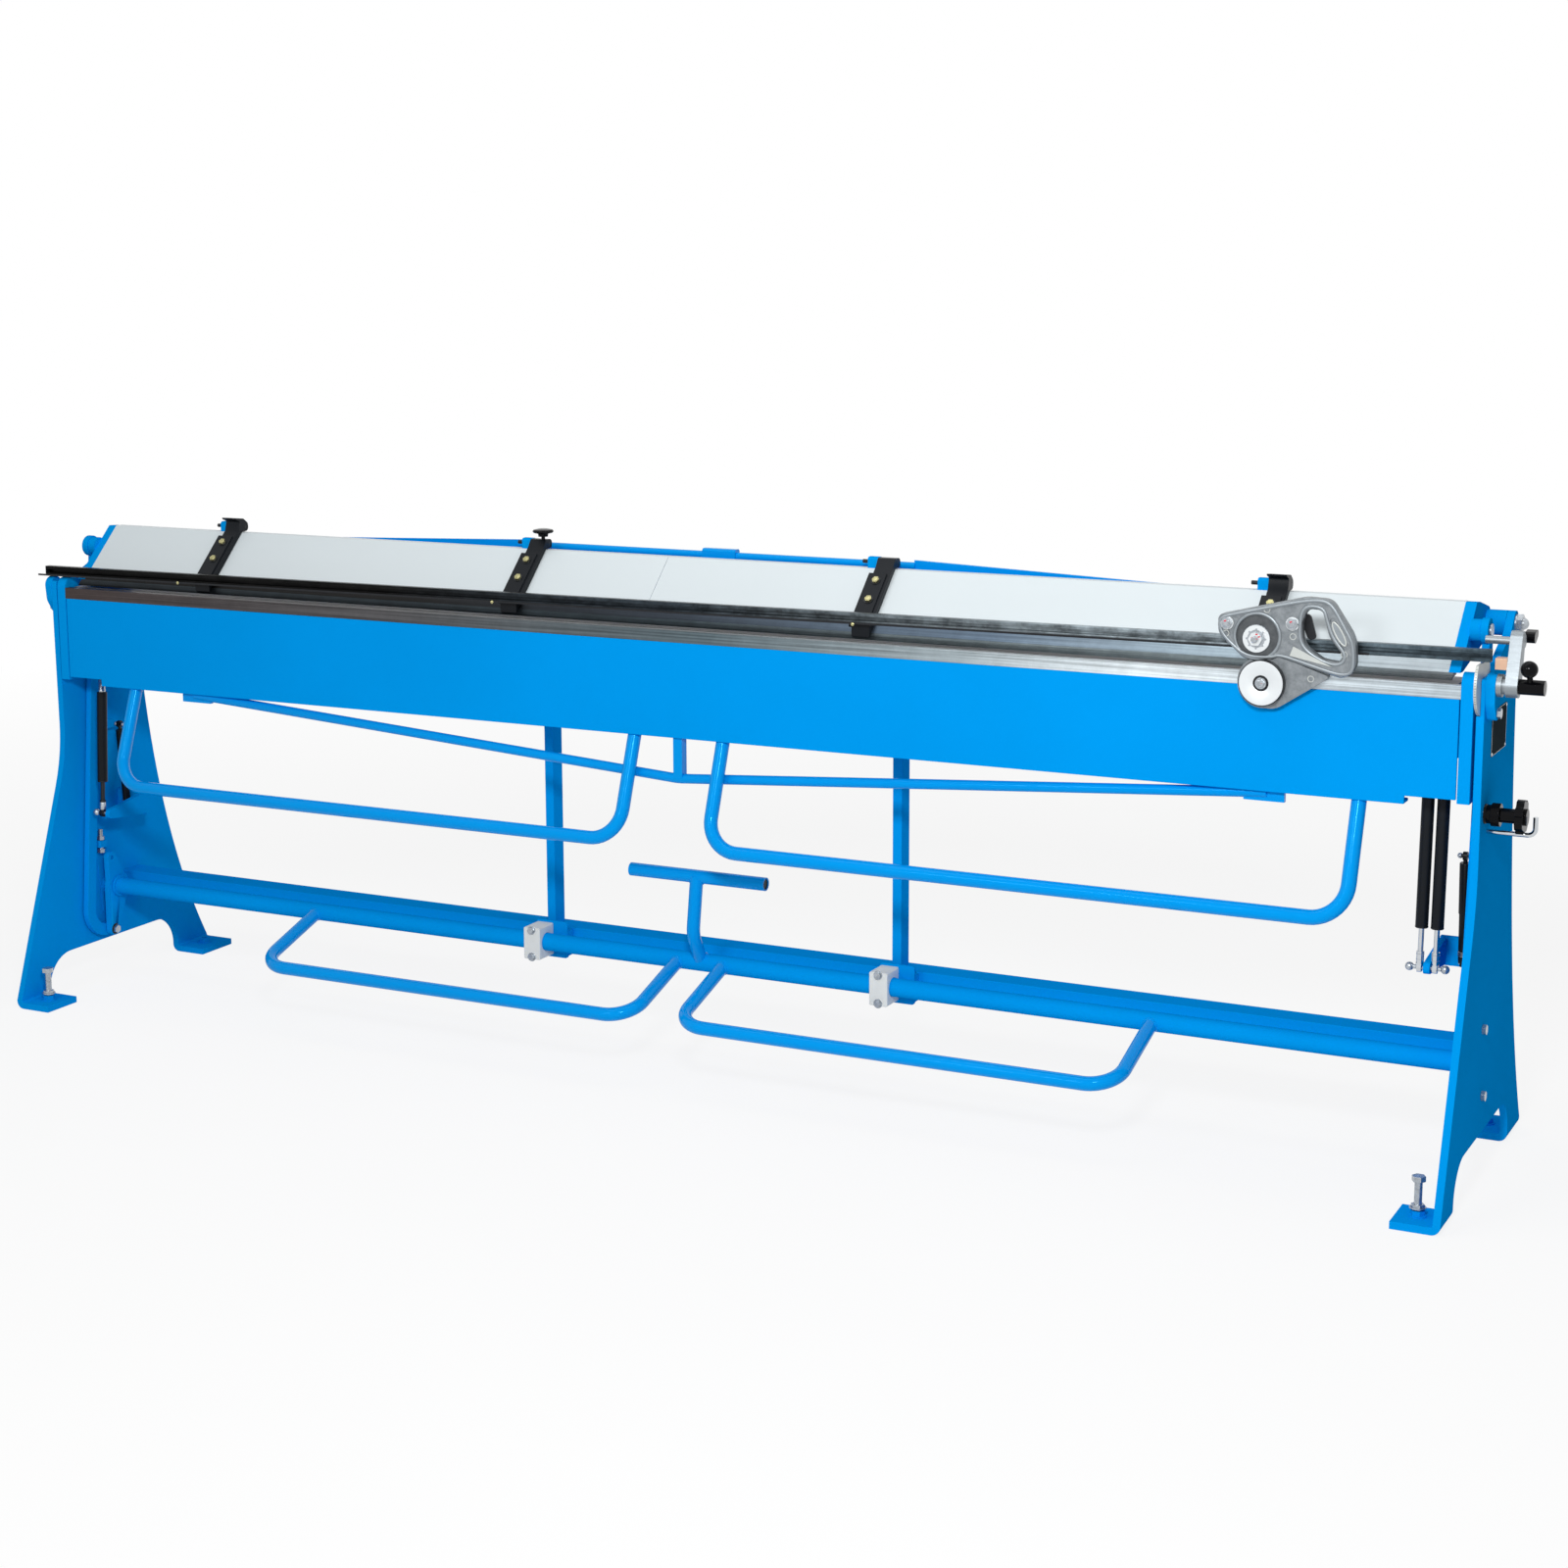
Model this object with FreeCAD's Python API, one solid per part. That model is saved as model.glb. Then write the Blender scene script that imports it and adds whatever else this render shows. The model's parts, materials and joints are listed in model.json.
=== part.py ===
import FreeCAD, Part
import math
import os

os.makedirs("parts", exist_ok=True)

# A 3 m class sheet metal folding machine with a roller cutter on a rail.
# Millimetres. X runs along the machine, the front faces -Y, Z points up from the floor.
# The shapes below are drawn with X = 0 midway between the end plates, and saved with X = 0 at the middle
# of the overall length, from the left end of the rail to the right end of the grip.

V = FreeCAD.Vector

middle_x = 28.5

# Frame
half_length = 1600
plate = 14
inner_x = half_length - plate
foot_inner_x = 1511
foot_rise = 18.5
front_foot_y = (-334.5, -238)
rear_foot_y = (218, 330.5)
arch_top = 95
arch_radius = 74
front_edge_y = -148
corner_top = (-153, 952)
levelling_bolt = (1549, -283)

# Clamp beam. Its sloping face falls from the top edge to the nose tip.
clamp_pivot = (88, 1019)
clamp_top = (-6, 1066)
slope = (0.7238, 0.69)
nose_length = 177.6
nose_bar_start = 160
cover_end = 127
cover_sheet = 2
clamp_half = 1529
nose_half = 1538
panel_seam_x = -90
clamp_end_x = (1529, 1549)
link_pin = (-42, 1021.6)
pin_radius = 8
running_fit = 0.05

# Folding beam
fold_axis = (-135, 941)
apron_front = -155
apron_bottom = 720
apron_top = 914.5
apron_rear = -122
apron_sheet = 6
apron_half = 1557
apron_step_x = 1467
apron_step_top = 735
blade_top = 938.5
blade_half = 1559
ear_x = (1559, 1581)
ear_rear = -111
ear_top = 960.5
ear_bottom = 729
handle_radius = 14
handle_top = (-135, 722)
handle_low = (-212, 511)
handle_bend = 66

# Lower jaw
jaw_table = 939
jaw_bar_bottom = 925
jaw_half = 1470

# Pedal shaft
shaft = (-27, 223)
shaft_radius = 19
shaft_half = 1552
stub_radius = 12
pedal_low = (-245, 153.6)
pedal_bend = 62
lever_x = (1552, 1566)
lever_pin = (-46, 123)
lever_tip = (-46, 293)

# Clamp links
link_x = (1568, 1582)
hook_centre = (-52, 176)
hook_outer = 68
hook_inner = 40
rear_strut_top = (-5, 603)
rear_strut_foot = (10, 400)
rear_strut_x = 1547

# Gas struts of the folding beam
strut_foot = (-98, 412)
strut_head = (-72, 860)
right_strut_x = (1493, 1521)
left_strut_x = (-1529,)
strut_notches = ((1479, 1535), (-1543, -1515))

# Rail carrier and cutter
carrier_axis = (6, 1078)
bracket_x = (-1190, -400, 400, 1190)
bracket_width = 38
bracket_height = 12.8
bracket_gap = 1.6
cap_sheet = 3
rail_front = -146
rail_back = -132
rail_height = 22
rail_mid_z = 983
rail_tilt = 0.35
rail_left = -1619
rail_right = 1606
edge_strip_x = (-1641, 1394)
cutter_hub = (1197, 1001)
cutter_bolt_places = ((1143, 1027), (1263, 1032))
lower_roller = (1211, 923)
cutter_face = -175
cutter_rear = -157

# Stop mechanism at the right end
star_axis = (-112, 707)
lock_rod_place = (-90, 671)
dial_radius = 56
dial_flat = 979
stop_pin = (-100, 1015)
stop_lever = (-60, 1017)


def yz(points):
    """Points in the YZ plane at X = 0."""
    return [V(0, y, z) for y, z in points]


def chain(points, radii, closed=True):
    """Straight runs joined by tangent arcs, one radius for each point."""
    count = len(points)
    starts = []
    ends = []
    arcs = []
    for i, point in enumerate(points):
        radius = radii[i]
        if radius == 0 or (not closed and i in (0, count - 1)):
            starts.append(point)
            ends.append(point)
            arcs.append(None)
            continue
        back = (points[i - 1] - point).normalize()
        ahead = (points[(i + 1) % count] - point).normalize()
        half = back.getAngle(ahead) / 2
        reach = radius / math.tan(half)
        bisector = (back + ahead).normalize()
        centre = point + bisector * (radius / math.sin(half))
        starts.append(point + back * reach)
        ends.append(point + ahead * reach)
        arcs.append(centre - bisector * radius)
    edges = []
    for i in range(count):
        if arcs[i] is not None:
            edges.append(Part.Arc(starts[i], arcs[i], ends[i]).toShape())
        if i == count - 1 and not closed:
            break
        target = starts[(i + 1) % count]
        if (target - ends[i]).Length > 1e-6:
            edges.append(Part.makeLine(ends[i], target))
    return edges


def plate_yz(corners, x0, x1):
    """A plate from corners (y, z) or (y, z, radius), between two X planes."""
    points = yz([(c[0], c[1]) for c in corners])
    radii = [c[2] if len(c) > 2 else 0 for c in corners]
    face = Part.Face(Part.Wire(chain(points, radii)))
    face.translate(V(x0, 0, 0))
    return face.extrude(V(x1 - x0, 0, 0))


def plate_xz(corners, y0, y1):
    """A plate from corners (x, z) or (x, z, radius), between two Y planes."""
    points = [V(c[0], 0, c[1]) for c in corners]
    radii = [c[2] if len(c) > 2 else 0 for c in corners]
    face = Part.Face(Part.Wire(chain(points, radii)))
    face.translate(V(0, y0, 0))
    return face.extrude(V(0, y1 - y0, 0))


def box(x0, x1, y0, y1, z0, z1):
    return Part.makeBox(x1 - x0, y1 - y0, z1 - z0, V(x0, y0, z0))


def rod_x(centre, radius, x0, x1):
    return Part.makeCylinder(radius, x1 - x0, V(x0, centre[0], centre[1]), V(1, 0, 0))


def rod_y(centre, radius, y0, y1):
    return Part.makeCylinder(radius, y1 - y0, V(centre[0], y0, centre[1]), V(0, 1, 0))


def rod_z(centre, radius, z0, z1):
    return Part.makeCylinder(radius, z1 - z0, V(centre[0], centre[1], z0), V(0, 0, 1))


def knob_end(radius, x, place):
    """A ball on the X line through place (y, z)."""
    return Part.makeSphere(radius, V(x, *place), V(1, 0, 0))


def hexagon(centre, across, height, axis):
    """A hexagonal head or nut that starts at centre and runs along axis."""
    reach = across / 2 / math.cos(math.pi / 6)
    points = [V(reach * math.cos(k * math.pi / 3), reach * math.sin(k * math.pi / 3), 0) for k in range(6)]
    solid = Part.Face(Part.makePolygon(points + [points[0]])).extrude(V(0, 0, height))
    solid.Placement = FreeCAD.Placement(centre, FreeCAD.Rotation(V(0, 0, 1), axis))
    return solid


def tapered(c1, r1, c2, r2, x0, x1):
    """A plate whose outline is two circles and their outer tangents."""
    span = math.hypot(c2[0] - c1[0], c2[1] - c1[1])
    along = ((c2[0] - c1[0]) / span, (c2[1] - c1[1]) / span)
    lean = math.acos((r1 - r2) / span)

    def rim(centre, radius, angle):
        c, s = math.cos(angle), math.sin(angle)
        return V(x0, centre[0] + radius * (along[0] * c - along[1] * s),
                 centre[1] + radius * (along[0] * s + along[1] * c))

    edges = [Part.makeLine(rim(c1, r1, lean), rim(c2, r2, lean)),
             Part.Arc(rim(c2, r2, lean), rim(c2, r2, 0), rim(c2, r2, -lean)).toShape(),
             Part.makeLine(rim(c2, r2, -lean), rim(c1, r1, -lean)),
             Part.Arc(rim(c1, r1, -lean), rim(c1, r1, math.pi), rim(c1, r1, lean)).toShape()]
    return Part.Face(Part.Wire(edges)).extrude(V(x1 - x0, 0, 0))


def tube(points, bends, radius, wall=0):
    """A round tube along straight runs with tangent bends."""
    path = Part.Wire(chain(points, bends, closed=False))
    start = points[0]
    ahead = (points[1] - points[0]).normalize()

    def swept(r):
        circle = Part.Wire(Part.makeCircle(r, start, ahead))
        return path.makePipeShell([circle], True, False)

    solid = swept(radius)
    return solid.cut(swept(radius - wall)) if wall else solid


def mirrored(shape):
    return shape.mirror(V(0, 0, 0), V(1, 0, 0))


def both_sides(shape):
    return [shape, mirrored(shape)]


def on_slope(s, n):
    """A point s down the sloping face of the clamp beam and n in front of it."""
    return (clamp_top[0] - s * slope[0] - n * slope[1], clamp_top[1] - s * slope[1] + n * slope[0])


def between(low, high, x, parts):
    """Places parts, built up the Z axis from the origin, on the line from low to high."""
    angle = -math.degrees(math.atan2(high[0] - low[0], high[1] - low[1]))
    place = FreeCAD.Placement(V(x, low[0], low[1]), FreeCAD.Rotation(V(1, 0, 0), angle))
    shape = Part.makeCompound(parts) if len(parts) > 1 else parts[0]
    shape.Placement = place
    return shape


def tilted(shape):
    """Turns a shape with the rail, which rises to the right."""
    turned = shape.copy()
    turned.rotate(V(0, 0, rail_mid_z), V(0, -1, 0), rail_tilt)
    return turned


def fused(shapes):
    return shapes[0].multiFuse(shapes[1:]).removeSplitter()


def save(name, shapes):
    """Writes one node, a single solid or a group of separate solids."""
    solids = []
    for shape in shapes:
        solids.extend(shape.Solids)
    for solid in solids:
        if not solid.isValid() or solid.Volume <= 0:
            print("check", name)
    out = solids[0].copy() if len(solids) == 1 else Part.makeCompound(solids)
    out.translate(V(-middle_x, 0, 0))
    out.exportStep("parts/%s.step" % name)
    print(name, len(solids), round(out.Volume))


# Frame

def end_plate():
    """Right end plate: straight front leg, concave rear edge, arched foot and horn for the clamp pivot."""
    head = 23
    front = [(rear_foot_y[1], foot_rise), (rear_foot_y[0], foot_rise), (rear_foot_y[0], arch_top),
             (front_foot_y[1], arch_top), (front_foot_y[1], foot_rise), (front_foot_y[0], foot_rise),
             (front_edge_y, 553), corner_top, (-92, corner_top[1]), (-11, 986), (45, 1006), (71.7, 1035.3)]
    radii = [0, 0, arch_radius, arch_radius, 0, 0, 400, 6, 20, 60, 30, 0]
    edges = chain(yz(front), radii, closed=False)
    rear_top = V(0, clamp_pivot[0] + head, clamp_pivot[1])
    edges.append(Part.Arc(V(0, 71.7, 1035.3), V(0, clamp_pivot[0], clamp_pivot[1] + head), rear_top).toShape())
    rear = Part.BSplineCurve()
    rear.interpolate([rear_top, V(0, 118, 825), V(0, 143, 600), V(0, 211, 300), V(0, rear_foot_y[1], foot_rise)])
    edges.append(rear.toShape())
    face = Part.Face(Part.Wire(edges))
    face.translate(V(inner_x, 0, 0))
    body = face.extrude(V(plate, 0, 0))
    feet = []
    for y0, y1 in (front_foot_y, rear_foot_y):
        foot = plate_xz([(foot_inner_x, 0), (half_length, 0, 17), (half_length, foot_rise),
                         (inner_x, foot_rise), (inner_x, plate, 4), (foot_inner_x, plate)], y0, y1)
        foot_hole = rod_z((levelling_bolt[0], (y0 + y1) / 2), 7.2, -1, plate + 1)
        feet.append(foot.cut(foot_hole))
    body = fused([body] + feet)
    holes = [rod_x(clamp_pivot, 10 + running_fit, inner_x - 1, half_length + 1),
             rod_x(fold_axis, pin_radius + running_fit, inner_x - 1, half_length + 1),
             rod_x(shaft, stub_radius + running_fit, inner_x - 1, inner_x + 10)]
    return body.cut(Part.makeCompound(holes))


right_plate = end_plate()
left_plate = mirrored(right_plate)
dial_recess = rod_x(fold_axis, dial_radius + 1, inner_x - 1, inner_x + 7)
lock_hole = rod_x(lock_rod_place, 4.5 + running_fit, inner_x - 1, half_length + 1)
save("end_plate_right", [right_plate.cut(dial_recess).cut(lock_hole)])
save("end_plate_left", [left_plate])

cross_wall = 4
cross = box(-inner_x, inner_x, 31, 90, 184, 244)
cross = cross.cut(box(-inner_x, inner_x, 31 + cross_wall, 90 - cross_wall, 184 + cross_wall, 244 - cross_wall))
save("cross_beam", [cross])

posts = []
for x in (-408, 408):
    post = box(x - 10, x + 10, 30.5, 70.5, 244, 770)
    posts.append(post.cut(box(x - 7, x + 7, 33.5, 67.5, 243, 771)))
save("support_posts", posts)

# Lower jaw: a closed box between the posts and the table bar, with end arms behind the links.
jaw_outline = [(-112, 925), (60, 925), (60, 770), (0, 770), (-112, 850)]
jaw_wall = 6
jaw_hollow = [(-112 + jaw_wall, 925 - jaw_wall), (60 - jaw_wall, 925 - jaw_wall), (60 - jaw_wall, 770 + jaw_wall),
              (2, 770 + jaw_wall), (-112 + jaw_wall, 853)]
jaw = plate_yz(jaw_outline, -jaw_half, jaw_half).cut(plate_yz(jaw_hollow, -jaw_half + 8, jaw_half - 8))
arms = both_sides(plate_yz([(4, 780), (60, 780), (60, 915), (4, 915)], jaw_half, inner_x))
save("lower_jaw_beam", [jaw] + arms)
save("lower_jaw_bar", [plate_yz([(-133, jaw_bar_bottom + 6), (-133, jaw_table), (-60, jaw_table),
                                 (-60, jaw_bar_bottom), (-124, jaw_bar_bottom)], -1550, 1550)])

# Shaft bearings
bearing_x = (-406, 406)
bracket_plates = []
bearing_blocks = []
bearing_bolts = []
for x in bearing_x:
    web = plate_xz([(x - 22, 182, 6), (x - 22, 262, 6), (x + 54, 262, 6), (x + 54, 182, 6)], 2, 8)
    flange = box(x + 46, x + 52, 8, 31, 186, 242)
    bracket_plates.append(fused([web, flange]).cut(rod_y((x + 36, 222), 5, 0, 10)))
    block = plate_xz([(x - 20, 188, 4), (x - 20, 258, 4), (x + 20, 258, 4), (x + 20, 188, 4)], -56, 2)
    block = block.cut(rod_x(shaft, shaft_radius + running_fit, x - 21, x + 21))
    bearing_blocks.append(block)
    for z in (193.5, 252.5):
        bearing_bolts.append(hexagon(V(x, -62.5, z), 13, 6.5, V(0, 1, 0)))
save("bearing_brackets", bracket_plates)
save("shaft_bearing_blocks", bearing_blocks)

flange_bolts = [(-52, 297), (-38, 168)]
flange_bearing = fused([tapered(shaft, 26, flange_bolts[0], 12, 1582.8, inner_x),
                        tapered(shaft, 26, flange_bolts[1], 12, 1582.8, inner_x),
                        rod_x(shaft, 22, 1570, inner_x)])
flange_bearing = flange_bearing.cut(rod_x(shaft, stub_radius + running_fit, 1569, inner_x + 1))
save("shaft_flange_bearings", both_sides(flange_bearing))

# Levelling bolts with lock nuts, and the nuts welded on all four feet
foot_parts = []
for side in (1, -1):
    for y, has_bolt in ((sum(front_foot_y) / 2, True), (sum(rear_foot_y) / 2, False)):
        x = side * levelling_bolt[0]
        nut = fused([rod_z((x, y), 16, plate, plate + 2), hexagon(V(x, y, plate + 1), 22, 10, V(0, 0, 1))])
        foot_parts.append(nut.cut(rod_z((x, y), 7.2, plate - 1, plate + 12)))
        if has_bolt:
            bolt = fused([rod_z((x, y), 7, 0.4, 80), hexagon(V(x, y, 78), 22, 10, V(0, 0, 1)),
                          hexagon(V(x, y, plate + 13), 22, 9, V(0, 0, 1))])
            foot_parts.append(bolt)
save("levelling_bolts", foot_parts)

frame_bolts = []
for y, z in flange_bolts:
    frame_bolts += both_sides(hexagon(V(half_length, y, z), 17, 8, V(1, 0, 0)))
frame_bolts += bearing_bolts

# Folding hinge blocks on the outer faces of the end plates
block_bolt = (-125, 890)
block_x = (half_length, half_length + 17)
hinge_block = fused([tapered(fold_axis, 19.5, (-128, 915), 24, *block_x),
                     tapered((-128, 915), 24, block_bolt, 13, *block_x)])
hinge_block = hinge_block.cut(rod_x(fold_axis, pin_radius + running_fit, half_length - 1, half_length + 15))
spindle = rod_x(fold_axis, 8, block_x[1], 1650)
save("folding_hinge_blocks", [fused([hinge_block, spindle]), mirrored(hinge_block)])
frame_bolts += both_sides(hexagon(V(block_x[1], block_bolt[0], block_bolt[1]), 17, 7, V(1, 0, 0)))

# Clamp pivot bolts with cap nuts
pivot_bolt = fused([rod_x(clamp_pivot, 10, 1552, half_length), rod_x(clamp_pivot, 17, half_length, half_length + 3),
                    hexagon(V(half_length + 3, clamp_pivot[0], clamp_pivot[1]), 30, 10, V(1, 0, 0)),
                    knob_end(11, half_length + 12, clamp_pivot)])
save("clamp_pivot_bolts", both_sides(pivot_bolt))

# Brackets on the end plates that carry the lower ends of the gas struts
strut_bracket = fused([tapered(strut_foot, 11, (10, 415), 24, 1501, 1513),
                       box(1501, inner_x, 22, 34, 388, 442),
                       box(1501, 1513, 0, 34, 391, 439),
                       tapered(rear_strut_foot, 10, (24, 404), 12, 1559, 1567)])
strut_pins = [rod_x(strut_foot, 4, 1480, 1501), rod_x(strut_foot, 4, 1513, 1534),
              knob_end(8, 1475, strut_foot), knob_end(8, 1539, strut_foot)]
right_pins = [fused([strut_pins[0], strut_pins[2]]), fused([strut_pins[1], strut_pins[3]])]
rear_pin = rod_x(rear_strut_foot, 4, 1539, 1559)
left_bracket = mirrored(strut_bracket)
stop_lug = box(1562, inner_x, -72, -50, 320, 336).cut(rod_z((1571, -61), 5, 310, 340))
save("strut_brackets", [strut_bracket, left_bracket] + both_sides(stop_lug))
left_pin = mirrored(fused([rod_x(strut_foot, 4, 1513, 1541), knob_end(8, 1547, strut_foot)]))
save("frame_bolts", frame_bolts + right_pins + [left_pin] + both_sides(rear_pin))

# Stop screws above the shaft levers
stop_screw = fused([hexagon(V(1571, -61, 307), 16, 9, V(0, 0, 1)), rod_z((1571, -61), 4.9, 316, 362),
                    hexagon(V(1571, -61, 337), 16, 8, V(0, 0, 1))])
save("lever_stop_screws", both_sides(stop_screw))

save("data_plate", [plate_yz([(-86, 803, 3), (-86, 885, 3), (34, 885, 3), (34, 803, 3)], half_length, half_length + 1)])
dial = rod_x(fold_axis, dial_radius, inner_x + 1.5, inner_x + 6.5)
dial = dial.cut(rod_x(fold_axis, 12, inner_x, half_length)).cut(box(inner_x, half_length, -250, 0, dial_flat, 1010))
save("angle_dial", [dial])

# Clamp beam
body_outline = [on_slope(158, -3.2), on_slope(3, -3.2), (14, 1061.6), (50, 1012), (50, 985), (-98, 954.4)]
body_wire = Part.Wire(Part.makePolygon(yz(body_outline + [body_outline[0]])))
body_hollow = Part.Face(body_wire.makeOffset2D(-5))
body_hollow.translate(V(-clamp_half, 0, 0))
clamp_body = plate_yz(body_outline, -clamp_half, clamp_half)
clamp_body = clamp_body.cut(body_hollow.extrude(V(2 * clamp_half, 0, 0)))
save("clamp_beam_body", [clamp_body])

cover_outline = [on_slope(cover_end, 0), on_slope(0, 0), (14, 1066), (14, 1064), (-5.1, 1064),
                 on_slope(cover_end, -cover_sheet)]
strip_outline = [on_slope(nose_bar_start, 0), on_slope(cover_end + 1, 0), on_slope(cover_end + 1, -3),
                 on_slope(nose_bar_start, -3)]
save("clamp_cover", [plate_yz(cover_outline, -clamp_half, panel_seam_x - 0.5),
                     plate_yz(cover_outline, panel_seam_x + 0.5, clamp_half),
                     plate_yz(strip_outline, -clamp_half, clamp_half)])

nose_outline = [on_slope(nose_length, 0), on_slope(nose_bar_start, 0), on_slope(nose_bar_start, -3.2), (-100, 953.6),
                (-100, 949.6), (-120, 948)]
save("nose_bar", [plate_yz(nose_outline, -nose_half, nose_half)])

clamp_end = plate_yz([on_slope(nose_bar_start, 0), on_slope(0, 0) + (4,), (20, 1064, 6), (112, 1043, 22),
                      (112, 995, 22), (60, 985, 20), (-100, 954.4)], *clamp_end_x)
clamp_end = fused([clamp_end, rod_x(clamp_pivot, 23, clamp_end_x[1], 1585.5),
                   rod_x(link_pin, 20, clamp_end_x[1], link_x[0] - 0.5)])
clamp_end = clamp_end.cut(rod_x(clamp_pivot, 10 + running_fit, 1551.9, 1586))
clamp_end = clamp_end.cut(rod_x((-37, 1044), 5, clamp_end_x[0] - 1, clamp_end_x[1] + 1))
clamp_end = clamp_end.cut(rod_x(link_pin, pin_radius, 1555, 1568))
save("clamp_end_plates", both_sides(clamp_end))
link_bolt = fused([rod_x(link_pin, pin_radius, 1555, 1583), rod_x(link_pin, 13, 1582.5, 1585.5)])
save("link_pins", both_sides(link_bolt))

# Stiffener behind the beam: two tapered plates, the tie tube between them and its sleeve and post
stay_y = (50, 56)
stay_plates = both_sides(plate_xz([(434, 988), (434, 1079), (985, 1059), (985, 988)], *stay_y))
tie_tube = rod_x((53, 1066.5), 8, -436, 436)
sleeve = plate_yz([(42, 1056), (42, 1077, 3), (47, 1081, 2), (60, 1081, 4), (64, 1077), (64, 1056)], -38, 38)
post = box(-12, 12, *stay_y, 988, 1060)
save("clamp_beam_truss", [fused([tie_tube, sleeve, post] + stay_plates)])
hinge_blocks = []
for x in bracket_x:
    left = x - bracket_width / 2
    block = plate_yz([(-4, 1066), (-4, 1088, 6), (16, 1088, 6), (16, 1066)], left - 24, left - 1)
    hinge_blocks.append(block.cut(rod_x(carrier_axis, 4 + running_fit, left - 25, left)))
save("carrier_hinge_blocks", hinge_blocks)

# Rail carrier
brackets = []
carrier_bolts = []
for k, x in enumerate(bracket_x):
    x0 = x - bracket_width / 2
    x1 = x + bracket_width / 2
    foot_low = (rail_back, on_slope(172.6, bracket_gap)[1])
    foot_high = (rail_back, on_slope(161.8, bracket_height)[1])
    if k in (0, 3):
        crown = [(14.5, 1086, 9), (-1, 1097, 6), (-29, 1100), (-28, 1096.5), (-14, 1091, 4)]
    else:
        crown = [(16, 1087.5, 9), (-8, 1087.5, 4)]
    outline = [foot_low, on_slope(0, 2.2), (6, 1068.2), (16, 1068.2, 9)] + crown
    outline += [on_slope(6, bracket_height), foot_high]
    arm = plate_yz(outline, x0, x1)
    trough = plate_yz([on_slope(185, -4), on_slope(14, -4), on_slope(14, bracket_height - 2.5),
                       on_slope(185, bracket_height - 2.5)], x0 + 2.5, x1 - 2.5)
    trough = trough.cut(box(x0, x1, rail_back, rail_back + 3, 900, 1000))
    bore = rod_x(carrier_axis, 4, x0 - 1, x1 + 1)
    rail_level = rail_mid_z + x * math.tan(math.radians(rail_tilt))
    foot = box(x0, x1, rail_back, rail_back + 3, 955, rail_level + 8)
    cap = plate_yz([on_slope(24, bracket_height - 1), on_slope(158, bracket_height - 1),
                    on_slope(158, bracket_height + cap_sheet), on_slope(24, bracket_height + cap_sheet)], x0 - 7, x1 - 7)
    heads = []
    for s in (43, 91):
        y, z = on_slope(s, bracket_height + cap_sheet)
        heads.append(hexagon(V(x - 5, y, z), 13, 5, V(0, -slope[1], slope[0])))
    brackets.append(fused([arm.cut(trough).cut(bore), cap, foot]).cut(Part.makeCompound(heads)))
    carrier_bolts += [rod_x(carrier_axis, 4, x0 - 38, x1)] + heads
save("rail_brackets", brackets)
save("carrier_bolts", carrier_bolts)

rail_low = rail_mid_z - rail_height / 2
rail_high = rail_mid_z + rail_height / 2
rail_outline = [(rail_back, rail_low), (rail_back, rail_high), (rail_front, rail_high), (rail_front, rail_mid_z + 4),
                (rail_front + 2.5, rail_mid_z + 4), (rail_front + 2.5, rail_mid_z + 8.5),
                (rail_back - 2.5, rail_mid_z + 8.5), (rail_back - 2.5, rail_mid_z - 8.5),
                (rail_front + 2.5, rail_mid_z - 8.5), (rail_front + 2.5, rail_mid_z - 4),
                (rail_front, rail_mid_z - 4), (rail_front, rail_low)]
edge_strip = box(*edge_strip_x, rail_front - 2.3, rail_front, rail_low, rail_low + 4)
save("cutter_rail", [tilted(plate_yz(rail_outline, rail_left, rail_right)), tilted(edge_strip)])

knob_axis = (-388, -8)
knob_teeth = 10
knob_profile = [(0, 1087.7), (4, 1087.7), (4, 1093), (10, 1094), (11, 1100), (20, 1102), (22.5, 1105), (20, 1108.5),
                (10, 1110.5), (0, 1110.5)]
knob_face = Part.Face(Part.Wire(Part.makePolygon([V(r, 0, z) for r, z in knob_profile + knob_profile[:1]])))
knob = knob_face.revolve(V(0, 0, 0), V(0, 0, 1), 360)
knob.translate(V(*knob_axis, 0))
for k in range(knob_teeth):
    angle = 2 * math.pi * k / knob_teeth
    notch = (knob_axis[0] + 25.5 * math.cos(angle), knob_axis[1] + 25.5 * math.sin(angle))
    knob = knob.cut(rod_z(notch, 4.5, 1098, 1111))
save("rail_lock_knob", [knob])

# Cutter: one casting with the hand loop, a lower arm and sliding shoes in the rail
casting_outline = [(1126, 1041, 12), (1285, 1081, 60), (1331, 1079, 26), (1376, 1012, 70), (1379, 951, 30),
                   (1352, 940, 12), (1238, 970.5, 6), (1226, 964, 18), (1176, 963, 26), (1127, 1008, 22)]
loop_outline = [(1279, 1034, 24), (1288, 1061, 16), (1316, 1059, 12), (1330, 1010, 60), (1356, 980, 10),
                (1346, 968, 8), (1318, 972, 30), (1282, 996, 34)]
hub_recess = (1199, 1006)


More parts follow.
